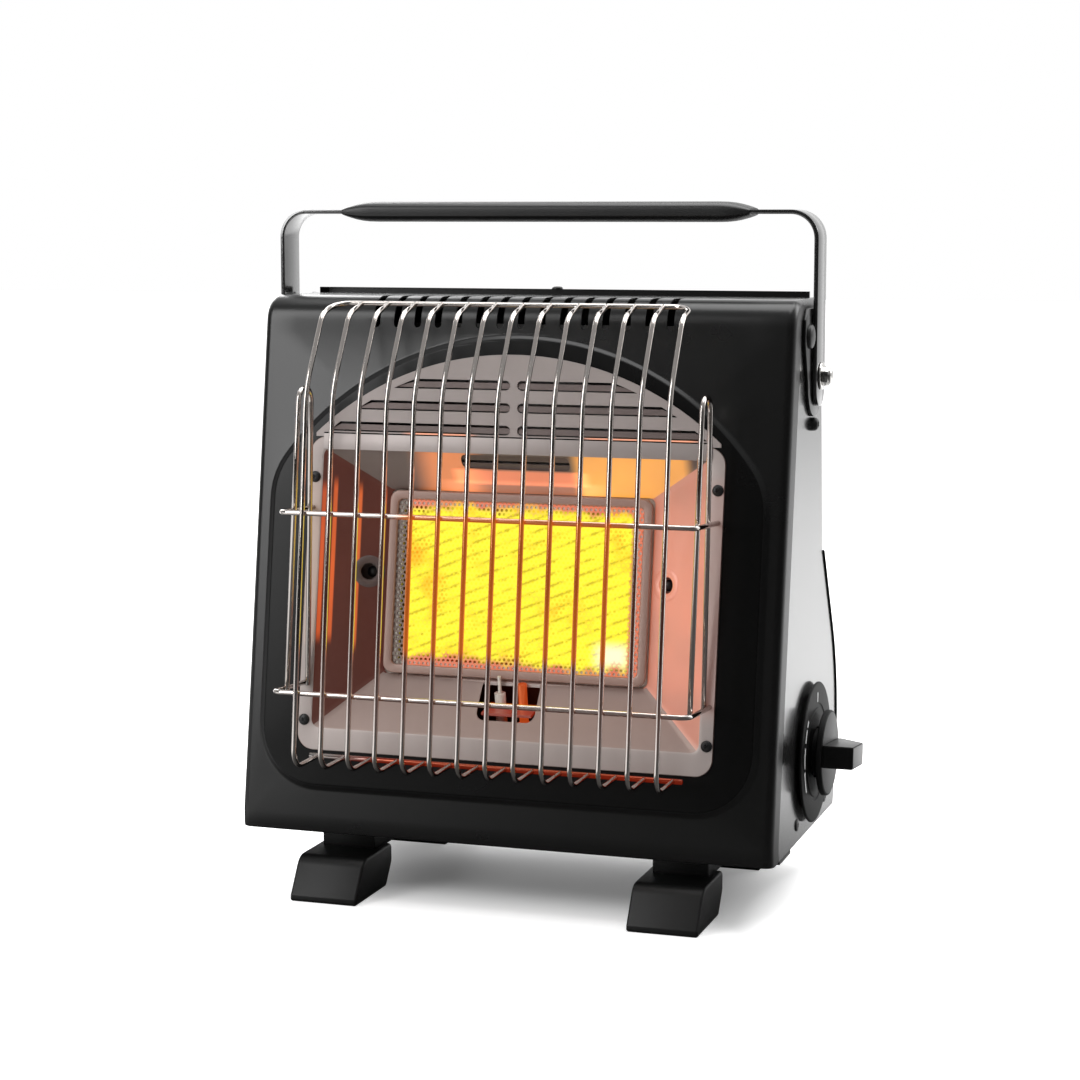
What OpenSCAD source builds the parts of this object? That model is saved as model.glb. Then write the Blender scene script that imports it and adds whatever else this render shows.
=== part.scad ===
// Portable butane heater: a leaning sheet-steel casing with a radiant burner behind a wire guard,
// a gas cartridge bay with a hinged door at the back, a side control knob and a folding handle.
// Lengths are millimetres. X runs to the knob's side, Y to the back and Z up.

/* [Casing] */
// Width of the casing over its side panels
body_w = 255; // [240:1:285]
// Height of the casing from its bottom edge to its top
body_h = 248; // [243:1:265]
// Height of the casing's bottom edge above the floor
base_z = 30; // [28:0.5:40]
// How far the top of the front lies behind its bottom
face_lean = 37; // [30:1:42]
// Depth of the casing at its top
top_d = 53; // [49:1:60]
// Thickness of the casing's steel sheet
sheet = 1; // [0.6:0.1:1.4]
// Radius of the roll between the front and the top
roll_r = 13; // [9:0.5:16]
// How far the front panel wraps round each side
wrap = 13; // [11:0.5:16]
// How far the front panel laps down each side under the top
top_wrap = 4; // [3:0.5:6]
// Depth of the flange under the front panel
bottom_flange = 14; // [11:1:18]
// Width of the visible seam between two casing panels
seam = 0.5; // [0.3:0.1:0.8]
// Height of the raised hem along the rear edge of the top
hem_h = 2.6; // [1.5:0.1:4]
// How far the hem stops short of each side
hem_inset = 5.5; // [3:0.5:10]

/* [Vents] */
// Number of slots through the front roll, and in each row at the back
vent_count = 15; // [9:1:17]
// Distance from one vent slot to the next
vent_pitch = 10.07; // [8:0.01:12]
// Width of a vent slot
vent_w = 3.3; // [2.5:0.1:4.5]
// How far the front vents reach below the top
vent_drop = 14; // [9:0.5:18]
// Length of a vent slot in the rear panel
rear_vent_l = 34; // [20:1:44]

/* [Raised field] */
// How far the pressed field stands out of the front
field_h = 2; // [1.2:0.1:3]
// Width of the pressed field
field_w = 237; // [225:1:238]
// Height of its lower edge along the front
field_low = 21.5; // [15:0.5:30]
// Height of its arched top along the front
field_apex = 232.8; // [229:0.2:234]
// Radius of the arch
field_arch_r = 139; // [132:1:150]
// Radius of its lower corners
field_corner = 28; // [18:1:32]
// Radius where the arch meets the straight sides
field_shoulder = 34; // [20:1:40]

/* [Reflector] */
// Width of the reflector's flange
pan_w = 199; // [194:1:206]
// Height of the flange's lower edge along the front
pan_low = 39; // [36:0.5:43]
// Height of the flange's upper edge along the front
pan_high = 185; // [183:0.5:188]
// Width of the flange at the sides
pan_side = 7; // [6:0.5:9]
// Width of the flange at the bottom
pan_bottom = 10.5; // [8:0.5:12]
// Width of the flange at the top
pan_top = 5.5; // [4:0.5:7]
// Depth of the reflector behind the front
pan_depth = 12; // [9:0.5:14]
// Thickness of the bright sheet
bright_t = 0.8; // [0.5:0.1:1]
// Width of the opening at the bottom of the reflector
mouth_w = 128; // [122:1:134]
// Height of that opening's lower edge along the front
mouth_low = 76; // [74:0.5:79]
// Height of that opening's upper edge along the front
mouth_high = 162; // [159:0.5:165]
// Width of the igniter window in the lower wall
window_w = 28; // [24:1:36]
// Height of the igniter window along the front
window_h = 19; // [13:0.5:21]
// Width of the air slot in the upper wall
slot_w = 52; // [40:1:70]

/* [Louvre plate] */
// Radius of the arched top of the louvre plate
louvre_r = 143.4; // [138:0.2:150]
// Width of the louvre plate at its lower edge
louvre_w = 194; // [188:1:198]
// Forward tilt of the plate from the front's slope, in degrees
louvre_tilt = 8; // [4:0.5:11]
// Height of one louvre
louvre_h = 4.5; // [3:0.1:6]
// Distance from one louvre row to the next
louvre_pitch = 10.25; // [8:0.05:11]
// Metal left between the two louvres of a row
louvre_gap = 11; // [8:0.5:16]
// Metal left outside the louvres
louvre_rim = 3.5; // [2.5:0.1:6]

/* [Guard] */
// Height of the guard's bottom above the casing's bottom edge
guard_low = 38.6; // [35:0.2:44]
// Height of the guard's top rail above the casing's bottom edge
guard_high = 245.4; // [243:0.2:250]
// Reach of the uprights in front of the front's lower edge, at their bottom
guard_reach = 35.6; // [32:0.2:42]
// Length of the run back to the bottom rail
guard_tuck = 28.6; // [22:0.2:30]
// Height of the uprights' slight bend above the casing's bottom edge
knee_h = 160; // [155:1:170]
// Reach of the uprights at that bend
knee_reach = 21; // [19:0.5:24]
// Height of the uprights' shoulder above the casing's bottom edge
shoulder_h = 208; // [204:1:214]
// Reach of the uprights at the shoulder
shoulder_reach = 16; // [13:0.5:18]
// Drop from the top rail to the bend under it
crown_drop = 4.4; // [3:0.2:6]
// Length of the run from that bend back to the top rail
crown_l = 16.2; // [14:0.2:20]
// Depth of the top rail behind the front's lower edge
crown_y = 20; // [16:0.5:24]
// Number of upright wires
upright_count = 14; // [10:1:14]
// Distance from one upright to the next
upright_pitch = 13; // [11:0.1:13.2]
// Thickness of the upright wires
upright_d = 2.3; // [2:0.1:2.8]
// Thickness of the rails and side loops
rail_d = 2.4; // [2.2:0.1:2.8]
// How far the ends of a cross rail lie inside the reflector's edges
rail_inset = 2.5; // [2:0.1:3.5]
// Height of the lower cross rail above the casing's bottom edge
rail_low = 72; // [66:0.5:76]
// Height of the upper cross rail above the casing's bottom edge
rail_high = 152.6; // [146:0.2:158]
// Bend radius of the rails
rail_bend = 5; // [4:0.5:8]
// Height of the side loops above the casing's bottom edge
loop_top = 207; // [190:1:214]
// How deep the rails go through the front
rail_in = 7; // [5:0.5:9]

/* [Burner] */
// Thickness of the glowing ceramic plaque
plaque_t = 13; // [10:0.5:15]
// Depth of the gas chamber behind the plaque
chamber_d = 18; // [14:0.5:20]
// Diameter of the mixing tube
mix_d = 18; // [14:0.5:20]
// Length of the mixing tube outside the burner box
mix_l = 30; // [24:1:34]

/* [Cartridge bay] */
// Diameter of the gas cartridge that the bay takes
cart_d = 67; // [64:0.5:68]
// Length of the gas cartridge that the bay takes
cart_l = 184; // [170:1:190]
// Diameter of the cartridge's valve collar
collar_d = 34; // [30:0.5:36]
// Distance of the rearmost part of the door behind the front's lower edge
door_y = 137.6; // [136:0.2:146]
// Height of the bay's top above the casing's bottom edge
bay_h = 130; // [128:0.5:134]
// Radius of the curve of the door
door_r = 100; // [85:1:104]
// Slope of the door's upper half from upright, in degrees
door_slope = 30; // [29:0.5:31]
// Thickness of the door
door_t = 1.6; // [1.2:0.1:2]
// Width of the two saddles under the cartridge, front to back
cradle_w = 38; // [30:1:44]
// Length of a saddle along the cartridge
cradle_t = 12; // [8:0.5:20]
// Height of a saddle above the base plate
cradle_h = 11; // [8:0.5:13]
// Diameter of the door's hinge pin
hinge_pin_d = 4; // [3:0.1:4.4]

/* [Handle] */
// Width of the handle's strap
strap_w = 17.6; // [14:0.2:20]
// Thickness of the strap
strap_t = 2; // [1.5:0.1:2.5]
// Height of the strap's top above the top of the casing
strap_rise = 40; // [38:0.5:50]
// Bend radius of the strap's corners, inside
strap_bend = 8; // [5:0.5:16]
// Depth of the handle's pivot behind the front's lower edge
pivot_y = 72.3; // [70.5:0.1:74]
// Height of the pivot above the casing's bottom edge
pivot_h = 213; // [209:0.5:217]
// Distance from the pivot down to the middle of the strap's rounded ends
strap_tail = 5; // [0:0.5:7]
// Diameter of the pivot bolts
bolt_d = 5; // [4:0.1:6]
// Length of the grip
grip_l = 199; // [160:1:204]
// Thickness of the grip
grip_h = 9.4; // [8:0.1:11]
// Width of the grip
grip_w = 21; // [21:0.5:24]
// Length of each of the grip's pointed ends
grip_taper = 12; // [6:0.5:16]
// Thickness of the brackets under the strap
bracket_t = 1.5; // [1:0.1:2]
// Diameter of the handle's stop studs
stud_d = 11; // [8:0.5:11]

/* [Control] */
// Depth of the knob's axis behind the front's lower edge
knob_y = 79.3; // [78:0.1:82]
// Height of the knob's axis above the casing's bottom edge
knob_h = 37.2; // [36.5:0.1:40]
// Radius of the dial plate
dial_r = 32.8; // [28:0.2:34]
// Thickness of the dial plate
dial_t = 3; // [2:0.1:4]
// Radius of the knob's disc
knob_r = 20; // [17:0.5:23]
// Thickness of the knob's disc
knob_t = 3; // [2:0.1:4]
// How far the grip bar stands out of the disc
bar_out = 14.5; // [10:0.5:18]
// Thickness of the grip bar
bar_t = 10.5; // [8:0.5:13]
// Turn of the grip bar from level with the knob at rest, in degrees
bar_turn = -6; // [-15:1:15]
// How far the knob can be pressed in
press = 3; // [2:0.1:3.5]
// Diameter of the valve shaft
shaft_d = 6; // [5:0.1:7]

/* [Feet] */
// Distance from a casing side to the middle of the foot under it
foot_inset = 46.5; // [36:0.5:56]
// Width of a foot at the floor
foot_w = 33; // [26:1:40]
// How far a foot reaches in front of the casing
foot_out = 12; // [8:0.5:16]
// Length of a foot's toe
toe_l = 46; // [40:1:52]
// Height of the bar between a foot's toes
foot_bar_h = 12; // [9:0.5:14]

/* [Fits] */
// Radial clearance of shafts and pins that turn
turn_fit = 0.06; // [0.02:0.01:0.1]
// Radial clearance of screws and wires in their holes
hole_fit = 0.15; // [0.1:0.05:0.3]
// Gap between pieces that move past each other
run_gap = 0.35; // [0.3:0.05:0.5]

/* [Hidden] */
$fn = 64;
// Overlap of a cut past the face that it opens
cut = 1;

// Casing lines
half_w = body_w / 2;
inner_w = half_w - sheet;
top_z = base_z + body_h;
slope = face_lean / body_h;
lean = atan(slope);
top_back = face_lean + top_d;
bay_z = base_z + bay_h;
side_low = base_z + 0.2;
lip_in = 1.5;
crease_h = 8.8;
function face_y(z) = slope * (z - base_z);
// Depth and height of a point given along the front's slope and behind its plane
function front_point(along, behind) = [
    along * sin(lean) + behind * cos(lean),
    base_z + along * cos(lean) - behind * sin(lean)
];

// Door lines
door_arc_z = bay_z - 1.3 - door_r * sin(door_slope) - 38.6;
door_low = base_z + 5.5;
door_top = bay_z - 1.3;
hinge_y = door_y - 7.6;
hinge_z = door_low + 3.5;
door_head_y = door_y - door_r * (1 - cos(door_slope))
    - tan(door_slope) * (door_top - door_arc_z - door_r * sin(door_slope));
bay_y = door_head_y - 1.6;

// Handle lines
pivot_z = base_z + pivot_h;
strap_x = half_w + bracket_t + run_gap;
strap_top = top_z + strap_rise;
washer_t = 0.8;
nut_h = 4.5;
hex_r = bolt_d * 0.92;
washer_x = strap_x + strap_t + run_gap;
nut_x = washer_x + washer_t;
bracket_r = strap_w / 2 + 6.7;
bracket_z = pivot_z - 3;
stud_y = pivot_y - strap_w / 2 - run_gap - stud_d / 2;
stud_z = pivot_z + 18.5;

// Control lines
knob_z = base_z + knob_h;
hub_r = 11;
hub_fit = 1;
dial_x = half_w + dial_t;
knob_x = dial_x + press + 0.5;
collar_x = half_w - 15;
collar_t = 2;
collar_r = shaft_d / 2 + 3.2;

// Cartridge and regulator lines
cart_y = door_y - 38.6;
shield_y = cart_y - cart_d / 2 - 3.5;
shield_t = 0.8;
cart_z = base_z + 2 * sheet + cart_d / 2 + 5;
socket_x = half_w - 52;
socket_deep = 8;
regulator_r = collar_d / 2 + 6;
regulator_t = 18;
barrel_r = 11;

// Burner lines, measured behind the front's plane
frame_t = 1.5;
mesh_t = 0.5;
screen_w = mouth_w - 6;
mesh_at = pan_depth - mesh_t - 0.5;
frame_at = mesh_at - frame_t;
plaque_at = pan_depth + 1.5;
box_back = plaque_at + plaque_t + chamber_d;
mix_at = plaque_at + plaque_t + chamber_d / 2 - 2;
mouth_mid = (mouth_low + mouth_high) / 2;
mix_point = front_point(mouth_mid, mix_at);
box_half = mouth_w / 2 + 2;

// Guard lines
upright_line = [
    [crown_y, base_z + guard_high],
    [crown_y - crown_l, base_z + guard_high - crown_drop],
    [-shoulder_reach, base_z + shoulder_h],
    [-knee_reach, base_z + knee_h],
    [-guard_reach, base_z + guard_low],
    [guard_tuck - guard_reach, base_z + guard_low]
];
upright_bends = [0, 12, 45, 120, 8, 0];
upright_half = upright_pitch * (upright_count - 1) / 2;
function upright_y(z) = lookup(z, [for (i = [4:-1:1]) [upright_line[i].y, upright_line[i].x]]);
weld = 0.2;
rail_span = pan_w - 2 * rail_inset;
rail_behind = (upright_d + rail_d) / 2 - weld;

// The part's own origin: the middle of its footprint, on the floor
foot_back = door_y + 9;
bar_tip = knob_x + knob_t + bar_out;
bolt_tip = nut_x + nut_h;
guard_tip = upright_y(base_z + guard_low + 8.4) - upright_d / 2;
origin_x = (bar_tip - bolt_tip) / 2;
origin_y = (foot_back + guard_tip) / 2;

// Finishes
black_coat = "#1c1c1d";
black_plastic = "#232324";
bright = "#c9c4bf";
chrome = "#d8d9dc";
brass = "#b8964e";
zinc = "#9a9ca0";

// Straight lines with their inner corners rounded, each corner by n steps
function unit(v) = v / norm(v);
function corner(a, b, c, r, n) =
    let (u = unit(a - b), v = unit(c - b), half = acos(u * v) / 2)
    let (middle = b + unit(u + v) * r / sin(half), turn = 180 - 2 * half)
    let (from = unit(b + u * r / tan(half) - middle), to = unit(b + v * r / tan(half) - middle))
    [for (k = [0:n]) middle + r * (sin(turn * (1 - k / n)) * from + sin(turn * k / n) * to) / sin(turn)];
function rounded(path, radii, n) = [
    for (i = [0:len(path) - 1])
        each (i == 0 || i == len(path) - 1)
            ? [path[i]]
            : corner(path[i - 1], path[i], path[i + 1], radii[i], n)
];
function same(value, path) = [for (p = path) value];
function arc(y, z, r, from, to, n) = [
    for (k = [0:n]) let (a = from + (to - from) * k / n) [y + r * cos(a), z + r * sin(a)]
];
function reversed(list) = [for (i = [len(list) - 1:-1:0]) list[i]];

// A round wire of diameter d swept along a path of points
function across_of(t, before) = unit(before - (before * t) * t);
function headings(p) = [
    for (i = [0:len(p) - 1]) unit(p[min(i + 1, len(p) - 1)] - p[max(i - 1, 0)])
];
function sides_of(t, i, before) =
    i == len(t) ? [] : let (n = across_of(t[i], before)) concat([n], sides_of(t, i + 1, n));
module wire(path, d) {
    count = 8;
    ahead = headings(path);
    start = abs(ahead[0].x) < 0.9 ? [1, 0, 0] : [0, 1, 0];
    aside = sides_of(ahead, 0, start);
    last = len(path) - 1;
    spots = [
        for (i = [0:last], k = [0:count - 1])
            let (a = 360 * k / count)
            path[i] + d / 2 * (cos(a) * aside[i] + sin(a) * cross(ahead[i], aside[i]))
    ];
    skin = [
        for (i = [0:last - 1], k = [0:count - 1], half = [0, 1])
            let (a = i * count + k, b = i * count + (k + 1) % count)
            half == 0 ? [a, a + count, b + count] : [a, b + count, b]
    ];
    heads = [for (k = [1:count - 2]) [0, k, k + 1]];
    tails = [for (k = [1:count - 2]) [last * count, last * count + k + 1, last * count + k]];
    polyhedron(spots, concat(skin, heads, tails));
}

// Places: along the front's slope, across the width, and on either side
module on_front() translate([0, 0, base_z]) rotate([-lean, 0, 0]) children();
module front_plate(behind, t) on_front()
    translate([0, behind + t, 0]) rotate([90, 0, 0]) linear_extrude(t) children();
module across(width) rotate([90, 0, 90]) linear_extrude(width, center = true) children();
module side_plate(x, t) translate([x, 0, 0]) rotate([90, 0, 90]) linear_extrude(t) children();
module both_sides() {
    children();
    mirror([1, 0, 0]) children();
}
// A cylinder along X from x, at a depth and height
module along_x(x, y, z, length, r) translate([x, y, z]) rotate([0, 90, 0]) cylinder(h = length, r = r);
module screen_rect(w, low, high) translate([-w / 2, low]) square([w, high - low]);
module rounded_rect(w, low, high, r) {
    translate([-w / 2, low + r]) square([w, high - low - 2 * r]);
    translate([-w / 2 + r, low]) square([w - 2 * r, high - low]);
    for (x = [-w / 2 + r, w / 2 - r], y = [low + r, high - r]) translate([x, y]) circle(r);
}

// The bent line of the front panel, a distance d inside its outer face
function skin_line(d) =
    let (roll_z = top_z - roll_r, roll_y = face_y(top_z - roll_r) + roll_r / cos(lean))
    concat(
        [[bottom_flange, base_z + d]],
        [[lip_in + d, base_z + d]],
        [[face_y(base_z + crease_h) + d / cos(lean), base_z + crease_h]],
        arc(roll_y, roll_z, roll_r - d, 180 - lean, 90, 10),
        [[top_back - sheet - seam, top_z - d]]
    );
// The door's curved line, a distance d inside its outer face
function door_line(d) = concat(
    [[door_y - d, door_low]],
    arc(door_y - door_r, door_arc_z, door_r - d, 0, door_slope, 8),
    [[door_head_y - d * cos(door_slope), door_top - d * sin(door_slope)]]
);
// The outline of a side panel down to a height, drawn in by d along the front panel's wrap
function side_outline(d, low) =
    let (front_low = front_point(2, wrap + d), front_high = front_point(body_h - 22, wrap + d))
    concat(
        [[front_low.x, low], front_high],
        arc(front_high.x + 11.5, top_z - top_wrap - d - 11, 11, 170, 90, 6),
        [[top_back - 0.4, top_z - top_wrap - d]],
        [[bay_y, bay_z]],
        reversed(door_line(door_t + run_gap)),
        [[door_y - 3.6, low]]
    );
// Half the pressed field's width, and its rounded outline drawn in by d
function field_outline(d) =
    let (x = field_w / 2 - field_shoulder, rise = field_arch_r - field_shoulder)
    let (arch = field_apex - field_arch_r, z = arch + sqrt(rise * rise - x * x))
    let (turn = atan2(z - arch, x), low = field_low + field_corner, side = field_w / 2 - field_corner)
    concat(
        arc(side, low, field_corner - d, -90, 0, 8),
        arc(x, z, field_shoulder - d, 0, turn, 6),
        arc(0, arch, field_arch_r - d, turn, 180 - turn, 24),
        arc(-x, z, field_shoulder - d, 180 - turn, 180, 6),
        arc(-side, low, field_corner - d, 180, 270, 8)
    );

louvre_centre = pan_high + 1.6 - sqrt(louvre_r * louvre_r - louvre_w * louvre_w / 4);
module front_opening() {
    translate([-pan_w / 2 + pan_side, pan_low + pan_bottom - 1])
        square([pan_w - 2 * pan_side, pan_high - pan_low - pan_bottom]);
    intersection() {
        translate([0, louvre_centre]) circle(louvre_r - 8);
        translate([-pan_w / 2, pan_high - 3]) square([pan_w, pan_w]);
    }
}

screw_r = 2.6;
screw_shank_r = 1.5;
big_screw = 1.2;
big_head_h = 3.2;
big_shank_r = big_screw * screw_shank_r;
pan_screws = [for (x = [-96.5, 96.5], v = [52.8, 166]) [x * pan_w / 199, v]];
side_screws = [[51, base_z + 8.6], [112, base_z + 8.6]];
rear_screws = [for (x = [-1, 1], z = [bay_z + 12, top_z - 16]) [x * (half_w - 12), z]];

module rail_holes(r) for (x = [-1, 1], h = [rail_low, rail_high])
    translate([x * rail_span / 2, 0, rail_end_z(h)])
        rotate([90, 0, 0]) cylinder(h = 200, r = r, center = true);
function rail_end_z(h) = base_z + h - 2.8;

// Casing
module front_panel() color(black_coat) difference() {
    union() {
        difference() {
            union() {
                across(body_w) polygon(concat(skin_line(0), reversed(skin_line(sheet))));
                both_sides() side_plate(inner_w, sheet) difference() {
                    polygon(concat(skin_line(0), [[top_back - sheet - seam, base_z]]));
                    polygon(side_outline(-seam, base_z - cut));
                }
            }
            front_plate(-cut, sheet + 2 * cut) polygon(field_outline(sheet / 2));
            both_sides() translate([inner_w - seam, wrap - seam, base_z - cut])
                cube([sheet + 2 * cut, bottom_flange, sheet + cut + seam]);
        }
        difference() {
            front_plate(-field_h, field_h + sheet * 0.6) polygon(field_outline(0));
            front_plate(sheet - field_h, field_h + cut) polygon(field_outline(sheet));
        }
    }
    front_plate(-field_h - cut, field_h + sheet + 2 * cut) front_opening();
    for (i = [0:vent_count - 1]) translate([vent_x(i) - vent_w / 2, 0, top_z - vent_drop])
        cube([vent_w, face_y(top_z) + roll_r + 6, vent_drop + cut]);
    for (s = pan_screws) on_front() translate([s.x, 0, s.y])
        rotate([90, 0, 0]) cylinder(h = 20, r = screw_shank_r + hole_fit, center = true);
    rail_holes(rail_d / 2 + 3 * hole_fit);
}
function vent_x(i) = (i - (vent_count - 1) / 2) * vent_pitch;

module side_panel(holes) difference() {
    union() {
        side_plate(inner_w, sheet) polygon(side_outline(0, side_low));
        side_plate(inner_w - sheet, sheet) difference() {
            polygon(side_outline(sheet + seam - top_wrap, base_top + seam));
            polygon(side_outline(wrap / 2, base_z - cut));
            translate([top_back - 12, 0]) square([200, 400]);
        }
    }
    for (s = side_screws) along_x(inner_w - cut, s.x, s.y, sheet + 2 * cut, screw_shank_r + hole_fit);
    along_x(inner_w - cut, pivot_y, pivot_z, sheet + 2 * cut, bolt_d / 2 + hole_fit);
    along_x(inner_w - cut, bracket_screw.x, bracket_screw.y, sheet + 2 * cut, big_shank_r + hole_fit);
    if (holes) {
        along_x(inner_w - cut, knob_y, knob_z, sheet + 2 * cut, hub_r + hub_fit);
        for (s = dial_screw_spots)
            along_x(inner_w - cut, s.x, s.y, sheet + 2 * cut, screw_shank_r + hole_fit);
    }
}
module left_side_panel() color(black_coat) mirror([1, 0, 0]) side_panel(false);
module right_side_panel() color(black_coat) side_panel(true);

// The rear panel's outer line leans forwards from the bay to the hem
function rear_y(z) = bay_y + (top_back - bay_y) * (z - bay_z) / (top_z - bay_z);
module rear_panel() color(black_coat) difference() {
    union() {
        across(2 * inner_w - 2 * seam) polygon([
            [rear_y(bay_z), bay_z],
            [rear_y(top_z), top_z],
            [rear_y(top_z) - sheet, top_z],
            [rear_y(bay_z) - sheet, bay_z + sheet],
            [rear_y(bay_z) - 16, bay_z + sheet],
            [rear_y(bay_z) - 16, bay_z]
        ]);
        across(body_w - 2 * hem_inset) polygon([
            [rear_y(top_z) + 0.5, top_z - 3],
            [rear_y(top_z) + 0.5, top_z + hem_h],
            [rear_y(top_z) - sheet, top_z + hem_h],
            [rear_y(top_z) - sheet, top_z - 3]
        ]);
    }
    for (i = [0:vent_count - 1], z = [bay_z + 18, bay_z + 26 + rear_vent_l])
        translate([vent_x(i) - vent_w / 2, rear_y(bay_z) - 30, z]) cube([vent_w, 60, rear_vent_l]);
    for (s = rear_screws) translate([s.x, rear_y(s.y), s.y])
        rotate([90, 0, 0]) cylinder(h = 8, r = screw_shank_r + hole_fit, center = true);
}

base_top = base_z + 2 * sheet;
base_back = hinge_y - 8;
ear_x = half_w - 27.5;
ear_t = 2;
ear_r = 4;
// A small lug under each side panel's front corner
lug_l = 22;
lug_t = 1.6;
module base_plate() color(black_coat) difference() {
    union() {
        translate([-inner_w + sheet, lip_in + 2.5 * sheet, base_z + sheet])
            cube([2 * inner_w - 2 * sheet, base_back - lip_in - 2.5 * sheet, sheet]);
        both_sides() translate([inner_w - sheet, wrap + 10, base_z + sheet])
            cube([sheet, base_back - wrap - 10, 14]);
        both_sides() translate([ear_x, base_back - 10, base_z + sheet])
            cube([ear_t, 10, hinge_z + ear_r - base_z - sheet]);
        both_sides() translate([ear_x, base_back - 10, hinge_z - ear_r])
            cube([ear_t, hinge_y - base_back + 10, 2 * ear_r]);
        both_sides() along_x(ear_x, hinge_y, hinge_z, ear_t, ear_r);
        both_sides() translate([inner_w - 3.5 * sheet, wrap + 4, base_z - lug_t])
            cube([4.5 * sheet, lug_l, lug_t]);
        both_sides() translate([inner_w - 3.5 * sheet, wrap + 4, base_z - lug_t])
            cube([2 * sheet, lug_l, lug_t + 1.2 * sheet]);
    }
    along_x(-half_w, hinge_y, hinge_z, body_w, hinge_pin_d / 2 + hole_fit / 3);
    for (s = foot_screw_spots) translate([s.x, s.y, base_z])
        cylinder(h = 3 * sheet, r = screw_shank_r + hole_fit);
    both_sides() for (s = side_screws)
        along_x(inner_w - 2 * sheet, s.x, s.y, 3 * sheet, screw_shank_r + hole_fit);
    along_x(inner_w - 5, knob_y, knob_z, 10, flange_r + 0.5);
}

// A domed screw along Z with its head's underside at zero
module screw(length) {
    intersection() {
        translate([0, 0, -screw_r * 0.9]) sphere(screw_r * 1.35);
        cylinder(h = screw_r, r = screw_r);
    }
    translate([0, 0, -length]) cylinder(h = length + 0.2, r = screw_shank_r);
}
module casing_screws() color(zinc) {
    both_sides() for (s = side_screws) translate([half_w, s.x, s.y]) rotate([0, 90, 0]) screw(4 * sheet);
    for (s = rear_screws) translate([s.x, rear_y(s.y), s.y])
        rotate([-90 + atan((bay_y - top_back) / (top_z - bay_z)), 0, 0]) screw(5);
    translate([0, rear_y(top_z) - sheet / 2 + 0.25, top_z + hem_h]) screw(0);
}

// Feet
foot_x = half_w - foot_inset;
foot_bar_w = 0.8 * foot_w;
foot_bar_y = 20;
neck_h = foot_bar_h - 1.5;
foot_screw_spots = [for (x = [-foot_x, foot_x], y = [28, cart_y - cradle_w / 2 - 8]) [x, y]];
module foot_toe() linear_extrude(foot_w, center = true) polygon([
    [-foot_out, 0],
    [-foot_out, 2],
    [-1, base_z - neck_h],
    [toe_l - foot_out, base_z - neck_h],
    [toe_l - foot_out, 11],
    [toe_l - foot_out - 8, 0]
]);
module foot(x) translate([x, 0, 0]) difference() {
    union() {
        rotate([90, 0, 90]) foot_toe();
        translate([0, foot_back - foot_out, 0]) rotate([90, 0, -90]) foot_toe();
        translate([-foot_bar_w / 2, foot_bar_y, base_z - foot_bar_h])
            cube([foot_bar_w, base_back - 6 - foot_bar_y, foot_bar_h]);
    }
    for (s = foot_screw_spots) if (s.x > 0) translate([0, s.y, base_z - foot_bar_h + 3])
        cylinder(h = foot_bar_h, r = screw_shank_r + hole_fit);
}
module left_foot() color(black_plastic) foot(-foot_x);
module right_foot() color(black_plastic) foot(foot_x);
module foot_screws() color(zinc)
    for (s = foot_screw_spots) translate([s.x, s.y, base_top]) screw(2 * sheet + 7);

// Cartridge bay
knuckle_l = 14;
knuckle_x = ear_x - knuckle_l - run_gap;
module cartridge_door() color(black_coat) difference() {
    union() {
        across(body_w) polygon(concat(door_line(0), reversed(door_line(door_t))));
        both_sides() translate([knuckle_x, hinge_y, hinge_z - 2])
            cube([knuckle_l, door_y - hinge_y - door_t / 2, 4]);
        both_sides() along_x(knuckle_x, hinge_y, hinge_z, knuckle_l, ear_r);
    }
    along_x(-half_w, hinge_y, hinge_z, body_w, hinge_pin_d / 2 + turn_fit);
    translate([0, door_head_y, door_top + 3]) rotate([90, 0, 0]) cylinder(h = 60, r = 14, center = true);
    both_sides() translate([inner_w - 0.6, hinge_y, door_low - cut])
        cube([sheet + 2 * cut, 20, hinge_z + 7 - door_low + cut]);
}
module door_hinge_pin() color(zinc)
    along_x(-ear_x - ear_t - 2, hinge_y, hinge_z, 2 * (ear_x + ear_t + 2), hinge_pin_d / 2);
module door_catch() color(zinc) {
    translate([-9, bay_y - 14, bay_z - 5]) cube([18, 11, 5]);
    translate([-9, bay_y - 14, bay_z - 9]) cube([18, 5, 5]);
}
shield_bend_z = base_z + 0.63 * bay_h;
baffle_y = bay_y - 16 - shield_t;
baffle_top = top_z - 14;
module heat_shield() color(bright) difference() {
    across(2 * inner_w - 2 * sheet - 2 * seam) polygon([
        [shield_y - 10, base_top],
        [shield_y - 10, base_top + shield_t],
        [shield_y - shield_t, base_top + shield_t],
        [shield_y - shield_t, shield_bend_z],
        [baffle_y - shield_t, bay_z - shield_t],
        [baffle_y - shield_t, baffle_top],
        [baffle_y, baffle_top],
        [baffle_y, bay_z],
        [bay_y - 15, bay_z],
        [bay_y - 15, bay_z - shield_t],
        [shield_y, shield_bend_z - shield_t / 2],
        [shield_y, base_top]
    ]);
    translate([tube_x, shield_y, tube_pass_z]) rotate([90, 0, 0]) cylinder(h = 8, r = 4, center = true);
    translate([lead_x, shield_y, lead_pass_z]) rotate([90, 0, 0]) cylinder(h = 8, r = 5, center = true);
    along_x(inner_w - 5, knob_y, knob_z, 10, flange_r + 1);
}
module cartridge_cradle() color(zinc) difference() {
    for (x = [socket_x - cart_l * 0.25, socket_x - cart_l * 0.8])
        translate([x - cradle_t / 2, cart_y - cradle_w / 2, base_top]) cube([cradle_t, cradle_w, cradle_h]);
    along_x(-half_w, cart_y, cart_z, body_w, cart_d / 2 + 0.5);
}

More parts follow.
